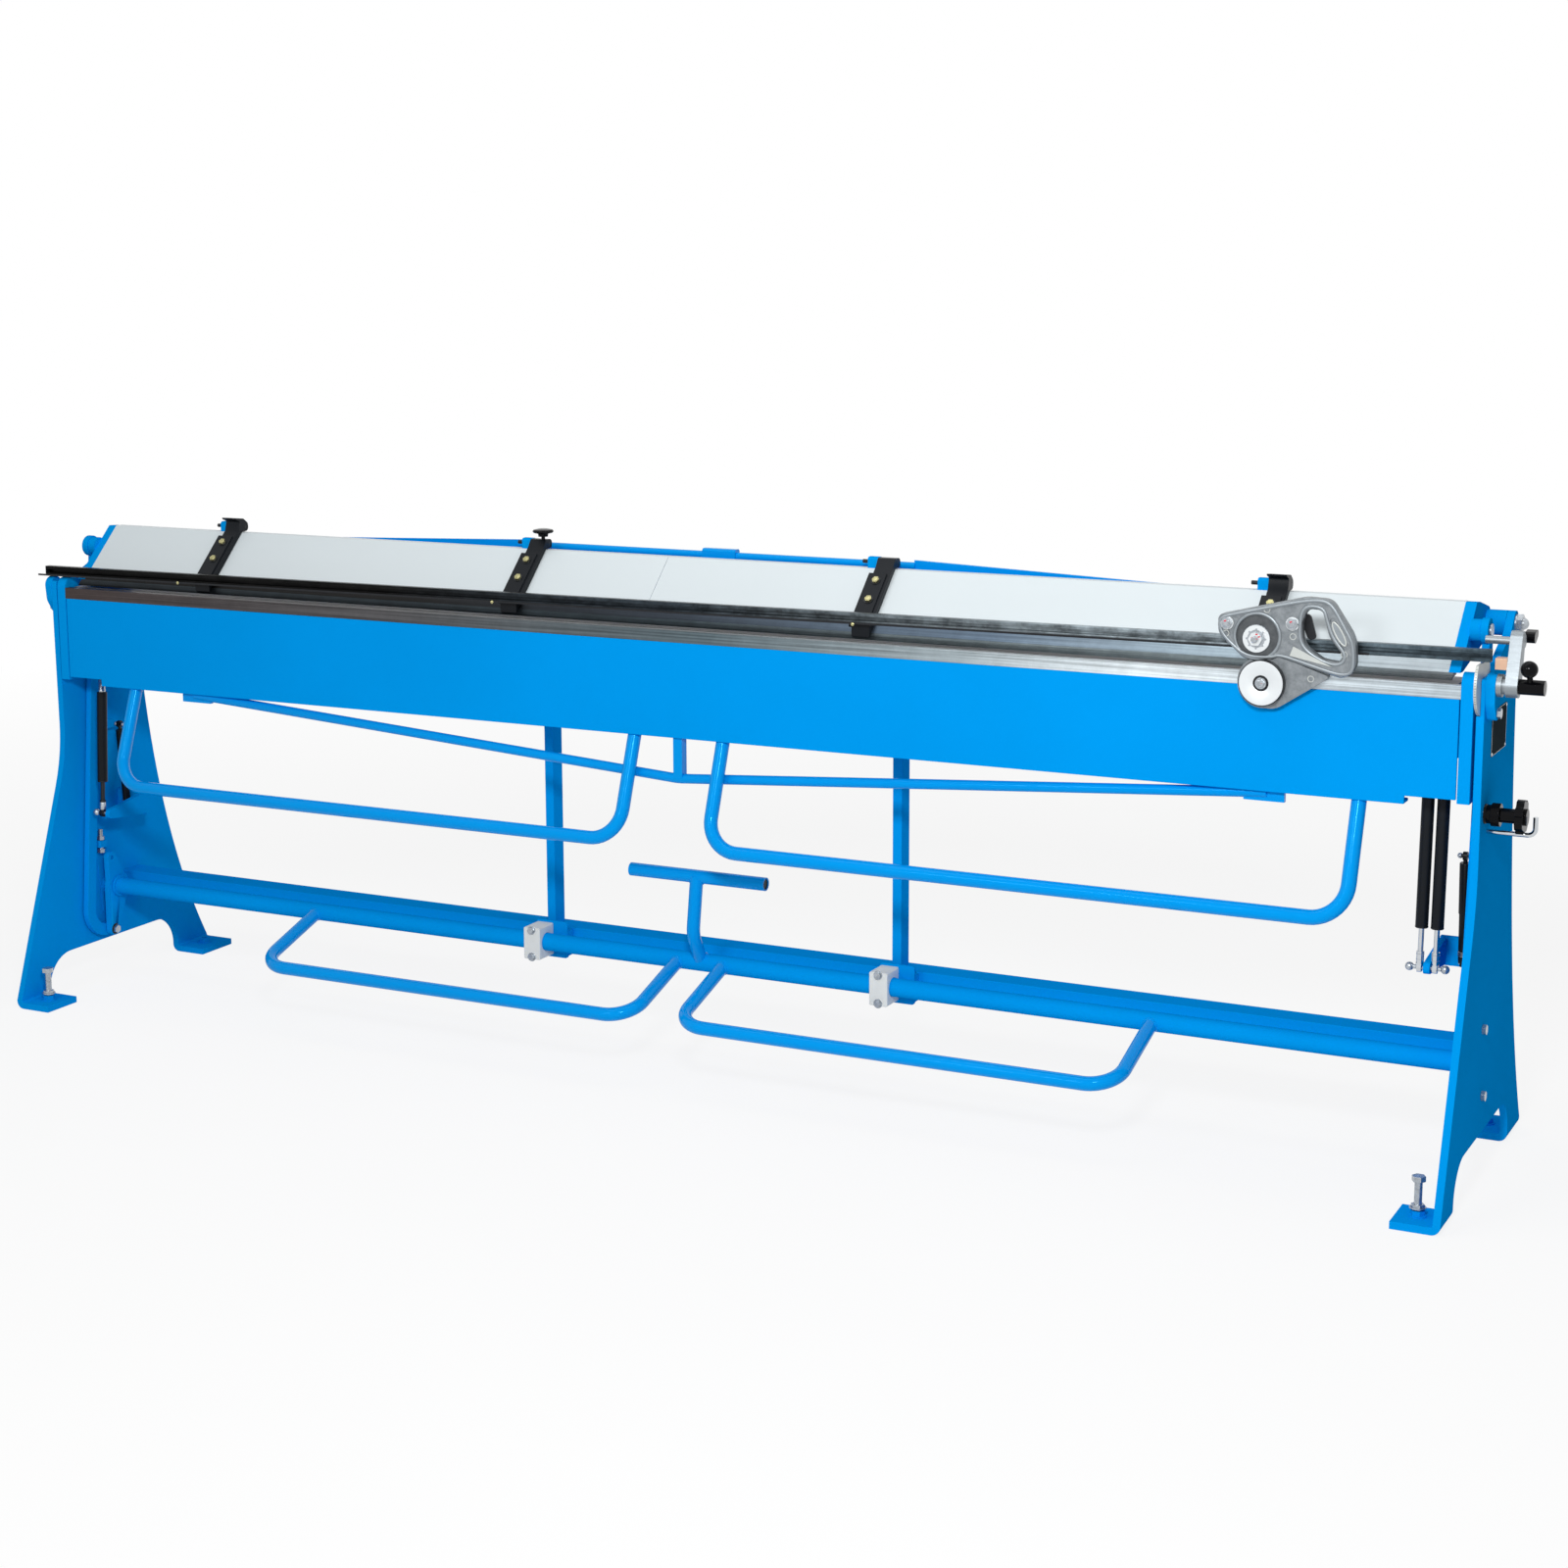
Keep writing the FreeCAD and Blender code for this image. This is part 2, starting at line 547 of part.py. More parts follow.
def cutter_casting():
    """The upper casting: raised rim and bosses round a shallow web, hub recess, hand loop with a finger relief."""
    body = plate_xz(casting_outline, cutter_face, cutter_rear)
    body = body.cut(plate_xz(loop_outline, cutter_face - 1, cutter_rear + 1))
    front = [edge for edge in body.Edges if abs(edge.BoundBox.YMin - cutter_face) < 0.01
             and abs(edge.BoundBox.YMax - cutter_face) < 0.01]
    body = body.makeChamfer(2, front)
    web = plate_xz([(1136, 1033, 8), (1270, 1067, 6), (1270, 1000, 6), (1226, 974, 16), (1180, 973, 20),
                    (1137, 1016, 14)], cutter_face - 1, cutter_face + 1.6)
    for place, radius in ((cutter_bolt_places[0], 12.5), (cutter_bolt_places[1], 13), (hub_recess, 43)):
        web = web.cut(rod_y(place, radius, cutter_face - 2, cutter_face + 2))
    relief = plate_xz([(1326, 1048, 5), (1339, 1046, 5), (1367, 994, 5), (1354, 991, 5)], cutter_face - 1, cutter_face + 2.5)
    return body.cut(web).cut(relief).cut(rod_y(hub_recess, 38.5, cutter_face - 1, cutter_face + 4))


lower_arm = plate_xz([(1164, 876, 46.5), (1164, 970, 46), (1244, 970, 8), (1331, 941, 3), (1322, 932.5, 6),
                      (1236, 876, 40)], cutter_face + 3, cutter_rear)
plaque = plate_xz([(1264, 995, 2), (1343, 958, 3), (1257, 974, 3)], cutter_face - 1.2, cutter_face + 2)
stub = rod_y(lower_roller, 6, cutter_face - 11, cutter_face + 4)
housing = fused([cutter_casting(), lower_arm, plaque, stub])
roller_seat = rod_y(lower_roller, 44, cutter_face - 1, cutter_face + 3).cut(rod_y(lower_roller, 6, cutter_face - 2, cutter_face + 4))
housing = housing.cut(roller_seat).cut(rod_y(cutter_hub, 8 + running_fit, cutter_face - 2, cutter_rear + 1))
shoes = []
for x, half_neck in ((1153, 5.5), (1262, 14)):
    neck = box(x - half_neck, x + half_neck, cutter_rear, -141, rail_mid_z - 3.2, rail_mid_z + 3.2)
    shoe = box(x - 20, x + 20, -142.7, -135.3, rail_mid_z - 7.6, rail_mid_z + 7.6)
    shoes.append(tilted(fused([neck, shoe])))
save("cutter_housing", [fused([housing] + shoes)])
catch_lever = plate_xz([(1268, 1048, 8), (1290, 1049, 9), (1303, 1003, 7), (1287, 1003, 7)], cutter_rear, cutter_rear + 5)
save("cutter_bolts", [hexagon(V(x, cutter_face - 7, z), 19, 7, V(0, 1, 0)) for x, z in cutter_bolt_places] + [catch_lever])
upper = fused([rod_y(cutter_hub, 36, -155, -149), rod_y(cutter_hub, 8, cutter_face, -149),
               rod_y(cutter_hub, 25, cutter_face + 1, cutter_face + 3.8),
               hexagon(V(cutter_hub[0], cutter_face - 7, cutter_hub[1]), 22, 9, V(0, 1, 0))])
save("upper_cutting_roller", [upper])
lower = rod_y(lower_roller, 42, cutter_face - 10, cutter_face + 2.5)
save("lower_cutting_roller", [lower.cut(rod_y(lower_roller, 6 + running_fit, cutter_face - 12, cutter_face + 4))])

# Folding beam
apron_outline = [(apron_front, apron_bottom), (apron_front, apron_top), (apron_rear, apron_top),
                 (apron_rear, apron_top - apron_sheet), (apron_front + apron_sheet, apron_top - apron_sheet),
                 (apron_front + apron_sheet, apron_bottom + apron_sheet), (apron_rear, apron_bottom + apron_sheet),
                 (apron_rear, apron_bottom)]
apron = plate_yz(apron_outline, -apron_half, apron_half)
for step in both_sides(box(apron_step_x, apron_half + 1, apron_front - 1, 0, apron_bottom - 1, apron_step_top)):
    apron = apron.cut(step)
for x0, x1 in strut_notches:
    apron = apron.cut(box(x0, x1, apron_rear - 17, apron_rear + 1, apron_top - apron_sheet - 1, apron_top + 1))
save("folding_apron", [apron])
blade = plate_yz([(apron_front, apron_top), (apron_front, blade_top), (-136.5, blade_top), (-136.5, apron_top)],
                 -blade_half, blade_half)
save("folding_blade", [blade])

ear = plate_yz([(apron_front, ear_bottom), (apron_front, ear_top, 21.9), (ear_rear, ear_top, 21.9), (ear_rear, ear_bottom)],
               *ear_x)
ear = fused([ear, rod_x(fold_axis, pin_radius, ear_x[1], 1614)])
anchor = plate_yz([(apron_front + apron_sheet, 830), (apron_front + apron_sheet, 890), (-62, 872, 9),
                   (-62, 848, 9)], 1502, 1512)
right_anchor = fused([anchor, rod_x(strut_head, 5, 1500.4, 1502), rod_x(strut_head, 5, 1512, 1513.6)])
left_anchor = mirrored(fused([anchor, rod_x(strut_head, 5, 1512, 1521.6)]))
save("folding_end_brackets", [ear, mirrored(ear), right_anchor, left_anchor])


def handle(x0, x1):
    y0, z0 = handle_top
    y1, z1 = handle_low
    return tube([V(x0, y0, z0), V(x0, y1, z1), V(x1, y1, z1), V(x1, y0, z0)], [0, handle_bend, handle_bend, 0],
                handle_radius, 3).cut(box(-1600, 1600, -170, -100, apron_bottom, apron_bottom + 40))


save("handle_right", [handle(101, 1383)])
save("handle_left", [handle(-1383, -101)])

truss_y = -137
truss_rod = tube([V(-1215, truss_y, 716), V(0, truss_y, 634), V(1215, truss_y, 716)], [0, 90, 0], 10)
tabs = [box(x - 38, x + 38, truss_y - 5, truss_y + 5, 700, apron_bottom) for x in (-1210, 1210)]
strut_post = box(-7, 13, truss_y - 10, truss_y + 10, 636, apron_bottom)
truss_beam = fused([truss_rod, strut_post] + tabs).cut(box(-1400, 1400, -170, -100, apron_bottom, 760))
save("folding_truss", [truss_beam])

# Clamp links


def clamp_link():
    """J-shaped link with its head on the clamp beam, bent under the shaft to the lever pin."""
    middle = (hook_outer + hook_inner) / 2
    outer_mid = hook_centre[0] - hook_outer * math.cos(math.pi / 4)
    inner_mid = hook_centre[0] - hook_inner * math.cos(math.pi / 4)
    low = hook_centre[1] - hook_outer
    edges = [Part.makeLine(V(0, -120, 176), V(0, -44.5, 1005)),
             Part.makeLine(V(0, -44.5, 1005), V(0, -16, 1005)),
             Part.makeLine(V(0, -16, 1005), V(0, -92, 176)),
             Part.Arc(V(0, -92, 176), V(0, inner_mid, hook_centre[1] - hook_inner * math.sin(math.pi / 4)),
                      V(0, hook_centre[0], hook_centre[1] - hook_inner)).toShape(),
             Part.makeLine(V(0, hook_centre[0], hook_centre[1] - hook_inner),
                           V(0, lever_pin[0], hook_centre[1] - hook_inner)),
             Part.makeLine(V(0, lever_pin[0], hook_centre[1] - hook_inner), V(0, lever_pin[0], low)),
             Part.makeLine(V(0, lever_pin[0], low), V(0, hook_centre[0], low)),
             Part.Arc(V(0, hook_centre[0], low), V(0, outer_mid, hook_centre[1] - hook_outer * math.sin(math.pi / 4)),
                      V(0, -120, 176)).toShape()]
    face = Part.Face(Part.Wire(edges))
    face.translate(V(link_x[0], 0, 0))
    shank = face.extrude(V(link_x[1] - link_x[0], 0, 0))
    end = (lever_pin[0], hook_centre[1] - middle)
    lug = tapered((-66, 606), 14, rear_strut_top, 10, link_x[0], link_x[0] + 6)
    link = fused([shank, rod_x(link_pin, 23, *link_x), rod_x(end, (hook_outer - hook_inner) / 2, *link_x), lug])
    return link.cut(rod_x(link_pin, pin_radius + running_fit, link_x[0] - 1, link_x[1] + 1))


link = clamp_link()
save("clamp_link_right", [link])
save("clamp_link_left", [mirrored(link)])

# Pedal shaft
tube_wall = 4
pedal_shaft = rod_x(shaft, shaft_radius, -shaft_half, shaft_half)
pedal_shaft = pedal_shaft.cut(rod_x(shaft, shaft_radius - tube_wall, -shaft_half + 30, shaft_half - 30))
pedal_shaft = fused([pedal_shaft] + both_sides(rod_x(shaft, stub_radius, shaft_half, inner_x + 8)))
save("pedal_shaft", [pedal_shaft])
shaft_core = rod_x(shaft, shaft_radius, -shaft_half, shaft_half)


def pedal(x0, x1):
    y0, z0 = shaft
    y1, z1 = pedal_low
    loop = tube([V(x0, y0, z0), V(x0, y1, z1), V(x1, y1, z1), V(x1, y0, z0)], [0, pedal_bend, pedal_bend, 0],
                handle_radius, 3)
    return loop.cut(shaft_core)


save("pedal_left", [pedal(-983, -62)])
save("pedal_right", [pedal(44, 971)])

bar_y, bar_z = -45, 410
crossbar = rod_x((bar_y, bar_z), handle_radius, -165, 150)
crossbar = crossbar.cut(rod_x((bar_y, bar_z), handle_radius - 3, -166, 151))
stem = tube([V(-9, -30, 226), V(-9, -66, 290), V(-9, bar_y - 2, bar_z)], [0, 60, 0], handle_radius, 3)
stem = stem.cut(rod_x((bar_y, bar_z), handle_radius, -165, 150)).cut(shaft_core)
save("t_bar", [fused([crossbar, stem])])

lever = fused([tapered(shaft, 34, lever_pin, 15, *lever_x), tapered(shaft, 30, lever_tip, 14, *lever_x)])
lever = lever.cut(rod_x(shaft, stub_radius, lever_x[0] - 1, lever_x[1] + 1))
lever = lever.cut(rod_x(lever_tip, 5, lever_x[0] - 1, lever_x[1] + 1))
lever = lever.cut(rod_x(lever_pin, 7, lever_x[0] - 1, lever_x[1] + 1))
lever_bolt = fused([hexagon(V(lever_x[0] - 8, *lever_pin), 17, 8, V(1, 0, 0)),
                    rod_x(lever_pin, 7, lever_x[0] - 1, link_x[0] - 0.6)])
save("shaft_levers", both_sides(lever) + both_sides(lever_bolt))

# Gas struts


def strut_rod(eye, length):
    """Chrome rod with its eye at the origin, up the Z axis, with the piston at its end."""
    fitting = fused([rod_x((0, 0), 9, -eye / 2, eye / 2), rod_z((0, 0), 7, 0, 30), rod_z((0, 0), 5, 0, length),
                     rod_z((0, 0), 8.9, length - 12, length)])
    return fitting.cut(rod_x((0, 0), 4 + running_fit, -eye, eye))


def strut_cylinder(low, high, head):
    """Black cylinder around the rod, and the extension with the upper eye."""
    tube_body = rod_z((0, 0), 11.5, low, high)
    bore = rod_z((0, 0), 9, low + 12, high - 8)
    gland = rod_z((0, 0), 5 + running_fit, low - 1, low + 13)
    upper = fused([rod_z((0, 0), 7, high, head - 14), rod_z((0, 0), 4, high, head), rod_x((0, head), 9, -4, 4)])
    return fused([tube_body.cut(bore).cut(gland), upper])


strut_span = math.hypot(strut_head[0] - strut_foot[0], strut_head[1] - strut_foot[1])
strut_set = (("right", right_strut_x, 375), ("left", left_strut_x, 280))
for side, places, body_top in strut_set:
    rods = [between(strut_foot, strut_head, x, [strut_rod(8, body_top - 16)]) for x in places]
    cylinders = [between(strut_foot, strut_head, x, [strut_cylinder(73, body_top, strut_span)]) for x in places]
    save("folding_strut_rod_" + side, rods)
    save("folding_strut_cylinder_" + side, cylinders)

rear_span = math.hypot(rear_strut_top[0] - rear_strut_foot[0], rear_strut_top[1] - rear_strut_foot[1])
rear_cylinder = fused([rod_x((0, 0), 9, -4, 4), rod_z((0, 0), 9, 0, 112)])
rear_cylinder = rear_cylinder.cut(rod_z((0, 0), 6.6, 20, 104)).cut(rod_z((0, 0), 4 + running_fit, 100, 113))
rear_cylinder = rear_cylinder.cut(rod_x((0, 0), 4 + running_fit, -10, 10))
rear_rod = fused([rod_z((0, 0), 4, 30, rear_span), rod_z((0, 0), 6.5, 30, 40), rod_x((0, rear_span), 8, -4, 4)])
for side, x in (("right", rear_strut_x), ("left", -rear_strut_x)):
    save("rear_strut_cylinder_" + side, [between(rear_strut_foot, rear_strut_top, x, [rear_cylinder.copy()])])
    save("rear_strut_rod_" + side, [between(rear_strut_foot, rear_strut_top, x, [rear_rod.copy()])])

# Stop arm on the spindle of the right hinge block
hub = fused([rod_x(fold_axis, 20, block_x[1] + 0.5, 1626.6), rod_x(fold_axis, 15, 1626.6, 1633)])
arm = tapered(fold_axis, 20, (-112, 1022), 13, 1633, 1654)
pin = rod_x(stop_pin, 7, 1586.5, 1633)
stop_lever_boss = tapered((-112, 1022), 13, stop_lever, 11, 1633, 1640)
grip_stub = rod_x(fold_axis, 6, 1654, 1696)
stop_arm = fused([hub, arm, pin, tapered((-112, 1022), 13, stop_pin, 11, 1633, 1654), stop_lever_boss, grip_stub])
stop_arm = stop_arm.cut(rod_x(fold_axis, 8 + running_fit, block_x[1], 1650.5))
save("stop_arm", [stop_arm])
save("stop_block", [box(1612, 1633, -141, -119, 969, 989)])

grip = rod_x(fold_axis, 13.5, 1654.5, 1698)
ball_lever = fused([grip, Part.makeCylinder(5, 34, V(1673, *fold_axis), V(0, -0.46, 0.89)),
                    Part.makeSphere(15, V(1673, fold_axis[0] - 0.46 * 38, fold_axis[1] + 0.89 * 38), V(0, -0.46, 0.89))])
save("stop_grip", [ball_lever.cut(rod_x(fold_axis, 6 + running_fit, 1654, 1696.5))])

clamp_lever = fused([rod_x(stop_lever, 10, 1640.5, 1660), tapered(stop_lever, 10, (-44, 1022), 7, 1646, 1664)])
save("stop_clamp_lever", [clamp_lever])

# Star knob and bent lock rod
knob_base = fused([rod_x(star_axis, 17, half_length, 1612), rod_x(star_axis, 20, 1612, 1628),
                   rod_x(star_axis, 6, 1628, 1650)])
save("star_knob_base", [knob_base])
wheel = fused([rod_x(star_axis, 31, 1656, 1670), rod_x(star_axis, 15, 1670, 1674)])
lobes = 7
for k in range(lobes):
    angle = 2 * math.pi * (k + 0.5) / lobes
    notch = (star_axis[0] + 35 * math.cos(angle), star_axis[1] + 35 * math.sin(angle))
    wheel = wheel.cut(rod_x(notch, 8, 1655, 1671))
wheel = fused([wheel, rod_x(star_axis, 13, 1628.5, 1656)]).cut(rod_x(star_axis, 6 + running_fit, 1628, 1650.5))
save("star_wheel", [wheel])
lock_rod = tube([V(inner_x - 1, *lock_rod_place), V(1684, *lock_rod_place), V(1684, lock_rod_place[0], 704)],
                [0, 12, 0], 4.5)
save("lock_rod", [lock_rod])
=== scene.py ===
import bmesh
import bpy
import json
import math
from mathutils import Matrix, Vector


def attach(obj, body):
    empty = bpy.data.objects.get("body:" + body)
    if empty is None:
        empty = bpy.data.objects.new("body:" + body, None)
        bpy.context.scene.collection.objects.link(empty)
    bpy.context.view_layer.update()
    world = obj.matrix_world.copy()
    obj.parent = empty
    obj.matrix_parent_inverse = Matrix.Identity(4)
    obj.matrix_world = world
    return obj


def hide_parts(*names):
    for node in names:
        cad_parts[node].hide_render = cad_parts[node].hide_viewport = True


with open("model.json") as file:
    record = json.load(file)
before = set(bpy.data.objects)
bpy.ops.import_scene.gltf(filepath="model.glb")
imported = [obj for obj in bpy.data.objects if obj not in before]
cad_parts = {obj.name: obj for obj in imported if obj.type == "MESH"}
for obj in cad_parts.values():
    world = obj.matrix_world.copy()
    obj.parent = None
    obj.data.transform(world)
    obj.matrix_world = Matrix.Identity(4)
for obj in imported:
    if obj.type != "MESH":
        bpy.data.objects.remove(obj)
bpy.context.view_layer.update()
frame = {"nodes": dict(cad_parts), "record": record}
middleX = 28.5  # the frame's X = 0 lies this far right of the midpoint between the end plates

for startName in ("Cube", "Light", "Camera"):
    if startName in bpy.data.objects:
        bpy.data.objects.remove(bpy.data.objects[startName])

bodyOf = {name: body for body, names in frame["record"]["behaviour"]["bodies"].items() for name in names}
slotOf = {row["node"]: row["material_slot"] for row in frame["record"]["subparts"]}


def at(x, y, z):
    return Vector(((x - middleX) / 1000, y / 1000, z / 1000))


# The camera stands where the photograph was taken from
viewpoint = {"place": (2576.0, -4876.3, 1732.8), "azimuth": 27.148, "elevation": 10.059, "roll": -0.318,
             "focalLength": 62.509, "shiftX": 0.0264, "shiftY": -0.0479}


def addCamera():
    azimuth = math.radians(viewpoint["azimuth"])
    elevation = math.radians(viewpoint["elevation"])
    roll = math.radians(viewpoint["roll"])
    ahead = -Vector((math.sin(azimuth) * math.cos(elevation), -math.cos(azimuth) * math.cos(elevation),
                     math.sin(elevation)))
    right = Vector((math.cos(azimuth), math.sin(azimuth), 0))
    up = right.cross(ahead)
    turnedRight = math.cos(roll) * right + math.sin(roll) * up
    turnedUp = -math.sin(roll) * right + math.cos(roll) * up
    data = bpy.data.cameras.new("viewpoint")
    data.sensor_width = 36
    data.sensor_fit = "HORIZONTAL"
    data.lens = viewpoint["focalLength"]
    data.shift_x = viewpoint["shiftX"]
    data.shift_y = viewpoint["shiftY"]
    data.clip_end = 200
    camera = bpy.data.objects.new("viewpoint", data)
    turn = Matrix((turnedRight, turnedUp, -ahead)).transposed().to_4x4()
    camera.matrix_world = Matrix.Translation(at(*viewpoint["place"])) @ turn
    bpy.context.scene.collection.objects.link(camera)
    bpy.context.scene.camera = camera


# Materials: small node trees, all on object coordinates in metres
def newMaterial(name):
    material = bpy.data.materials.new(name)
    material.use_nodes = True
    tree = material.node_tree
    return material, tree, tree.nodes["Principled BSDF"]


def addNode(tree, kind, **values):
    node = tree.nodes.new(kind)
    for key, value in values.items():
        if key in node.inputs:
            node.inputs[key].default_value = value
        else:
            setattr(node, key, value)
    return node


def patternSpace(tree, scale=(1, 1, 1), place=(0, 0, 0)):
    coordinates = addNode(tree, "ShaderNodeTexCoord")
    mapping = addNode(tree, "ShaderNodeMapping")
    mapping.inputs["Scale"].default_value = scale
    mapping.inputs["Location"].default_value = place
    tree.links.new(coordinates.outputs["Object"], mapping.inputs["Vector"])
    return mapping.outputs["Vector"]


def noise(tree, vector, scale, detail=3.0, roughness=0.55):
    node = addNode(tree, "ShaderNodeTexNoise", Scale=scale, Detail=detail, Roughness=roughness)
    tree.links.new(vector, node.inputs["Vector"])
    return node.outputs["Fac"]


def ramp(tree, factor, stops):
    node = addNode(tree, "ShaderNodeValToRGB")
    points = node.color_ramp.elements
    while len(points) < len(stops):
        points.new(0.5)
    for point, (position, value) in zip(points, stops):
        point.position = position
        point.color = (value, value, value, 1) if isinstance(value, (int, float)) else (*value, 1)
    tree.links.new(factor, node.inputs["Fac"])
    return node.outputs["Color"]


def mixed(tree, factor, first, second, blend="MIX"):
    node = addNode(tree, "ShaderNodeMix", data_type="RGBA", blend_type=blend)
    for socket, value in ((node.inputs[0], factor), (node.inputs[6], first), (node.inputs[7], second)):
        if isinstance(value, bpy.types.NodeSocket):
            tree.links.new(value, socket)
        elif isinstance(value, (int, float)):
            socket.default_value = value
        else:
            socket.default_value = (*value, 1)
    return node.outputs[2]


def bumped(tree, shader, height, strength, distance=0.001):
    node = addNode(tree, "ShaderNodeBump", Strength=strength, Distance=distance)
    tree.links.new(height, node.inputs["Height"])
    tree.links.new(node.outputs["Normal"], shader.inputs["Normal"])


def paint(name, colour, roughness, specular=0.5, peel=0.05, speck=0.03, tint=(1, 1, 1)):
    material, tree, shader = newMaterial(name)
    space = patternSpace(tree)
    tone = ramp(tree, noise(tree, space, 2.2, 4), [(0.3, tuple(c * (1 - speck) for c in colour)),
                                                  (0.7, tuple(min(1, c * (1 + speck)) for c in colour))])
    dust = ramp(tree, noise(tree, space, 34, 6, 0.7), [(0.62, 0), (0.78, 1)])
    shade = mixed(tree, 0.05, tone, mixed(tree, dust, tone, tuple(c * 0.8 + 0.02 for c in colour)))
    tree.links.new(shade, shader.inputs["Base Color"])
    gloss = ramp(tree, noise(tree, space, 9, 5), [(0.25, roughness * 0.85), (0.8, roughness * 1.2)])
    tree.links.new(gloss, shader.inputs["Roughness"])
    shader.inputs["Specular IOR Level"].default_value = specular
    shader.inputs["Specular Tint"].default_value = (*tint, 1)
    bumped(tree, shader, noise(tree, space, 260, 2), peel)
    return material


def metal(name, colour, roughness, variation=0.12, grain=(1, 1, 1), grainScale=60, strength=0.08,
          metallic=0.85):
    material, tree, shader = newMaterial(name)
    space = patternSpace(tree, grain)
    dark = tuple(c * (1 - variation) for c in colour)
    tone = ramp(tree, noise(tree, space, grainScale, 6, 0.65), [(0.3, dark), (0.72, colour)])
    tree.links.new(tone, shader.inputs["Base Color"])
    gloss = ramp(tree, noise(tree, space, grainScale * 0.4, 4),
                 [(0.25, roughness * 0.8), (0.8, roughness * 1.25)])
    tree.links.new(gloss, shader.inputs["Roughness"])
    shader.inputs["Metallic"].default_value = metallic
    bumped(tree, shader, noise(tree, space, grainScale * 3, 3), strength)
    return material


def plastic(name, colour, roughness, specular=0.5, grain=120, strength=0.05):
    material, tree, shader = newMaterial(name)
    space = patternSpace(tree)
    tone = ramp(tree, noise(tree, space, 14, 4), [(0.3, tuple(c * 0.92 for c in colour)), (0.7, colour)])
    tree.links.new(tone, shader.inputs["Base Color"])
    gloss = ramp(tree, noise(tree, space, 30, 4), [(0.3, roughness * 0.85), (0.8, roughness * 1.2)])
    tree.links.new(gloss, shader.inputs["Roughness"])
    shader.inputs["Specular IOR Level"].default_value = specular
    bumped(tree, shader, noise(tree, space, grain, 2), strength)
    return material


# Long steel parts: their base colour holds a painted reflection of dark surroundings at the left end and
# bright ones at the right, so their tone changes along X
longSteel = {"leftEnd": -1.65, "rightEnd": 1.62, "streakStretch": (0.6, 30, 90)}


def longMetal(name, stops, roughness, mottle, mottleScale=26, streak=0.5, fine=0.12):
    material, tree, shader = newMaterial(name)
    coordinates = addNode(tree, "ShaderNodeTexCoord")
    axes = addNode(tree, "ShaderNodeSeparateXYZ")
    tree.links.new(coordinates.outputs["Object"], axes.inputs[0])
    # Painted reflection: the colour stops run along X from the left end to the right end
    share = addNode(tree, "ShaderNodeMapRange")
    share.inputs["From Min"].default_value = longSteel["leftEnd"]
    share.inputs["From Max"].default_value = longSteel["rightEnd"]
    tree.links.new(axes.outputs["X"], share.inputs["Value"])
    tone = ramp(tree, share.outputs["Result"], stops)
    space = patternSpace(tree, longSteel["streakStretch"])
    streaks = ramp(tree, noise(tree, space, 3.2, 5, 0.6), [(0.36, 1 - streak), (0.6, 1 + streak * 0.6)])
    cloud = ramp(tree, noise(tree, patternSpace(tree), mottleScale, 5, 0.7),
                 [(0.35, 1 - mottle), (0.68, 1 + mottle)])
    tone = mixed(tree, 1.0, mixed(tree, 1.0, tone, streaks, "MULTIPLY"), cloud, "MULTIPLY")
    tree.links.new(tone, shader.inputs["Base Color"])
    gloss = ramp(tree, noise(tree, space, 8, 4), [(0.25, roughness * 0.75), (0.8, roughness * 1.3)])
    tree.links.new(gloss, shader.inputs["Roughness"])
    shader.inputs["Metallic"].default_value = 0.9
    bumped(tree, shader, noise(tree, patternSpace(tree), 700, 2), fine)
    return material


casting = {"hub": (1199, 1006), "shadeFrom": 0.037, "shadeTo": 0.042, "hubShadeTone": 0.36}


def castMetal(name):
    # Sand-cast grain, with painted shade darkening it inside the hub recess
    material, tree, shader = newMaterial(name)
    space = patternSpace(tree)
    grey = ramp(tree, noise(tree, space, 90, 6, 0.7),
                [(0.3, (0.15, 0.17, 0.185)), (0.72, (0.29, 0.315, 0.335))])
    # Painted shade: the colour is multiplied down inside the hub recess and rises to full between shadeFrom
    # and shadeTo, radii in metres from the hub
    hubX, hubZ = (casting["hub"][0] - middleX) / 1000, casting["hub"][1] / 1000
    radial = patternSpace(tree, (1, 0, 1), (-hubX, 0, -hubZ))
    reach = addNode(tree, "ShaderNodeVectorMath", operation="LENGTH")
    tree.links.new(radial, reach.inputs[0])
    shaded = addNode(tree, "ShaderNodeMapRange")
    shaded.inputs["From Min"].default_value = casting["shadeFrom"]
    shaded.inputs["From Max"].default_value = casting["shadeTo"]
    shaded.inputs["To Min"].default_value = casting["hubShadeTone"]
    shaded.inputs["To Max"].default_value = 1.0
    tree.links.new(reach.outputs["Value"], shaded.inputs["Value"])
    tree.links.new(mixed(tree, 1.0, grey, shaded.outputs["Result"], "MULTIPLY"), shader.inputs["Base Color"])
    gloss = ramp(tree, noise(tree, space, 40, 4), [(0.25, 0.36), (0.8, 0.56)])
    tree.links.new(gloss, shader.inputs["Roughness"])
    shader.inputs["Metallic"].default_value = 0.55
    bumped(tree, shader, noise(tree, space, 420, 4, 0.7), 0.35)
    return material


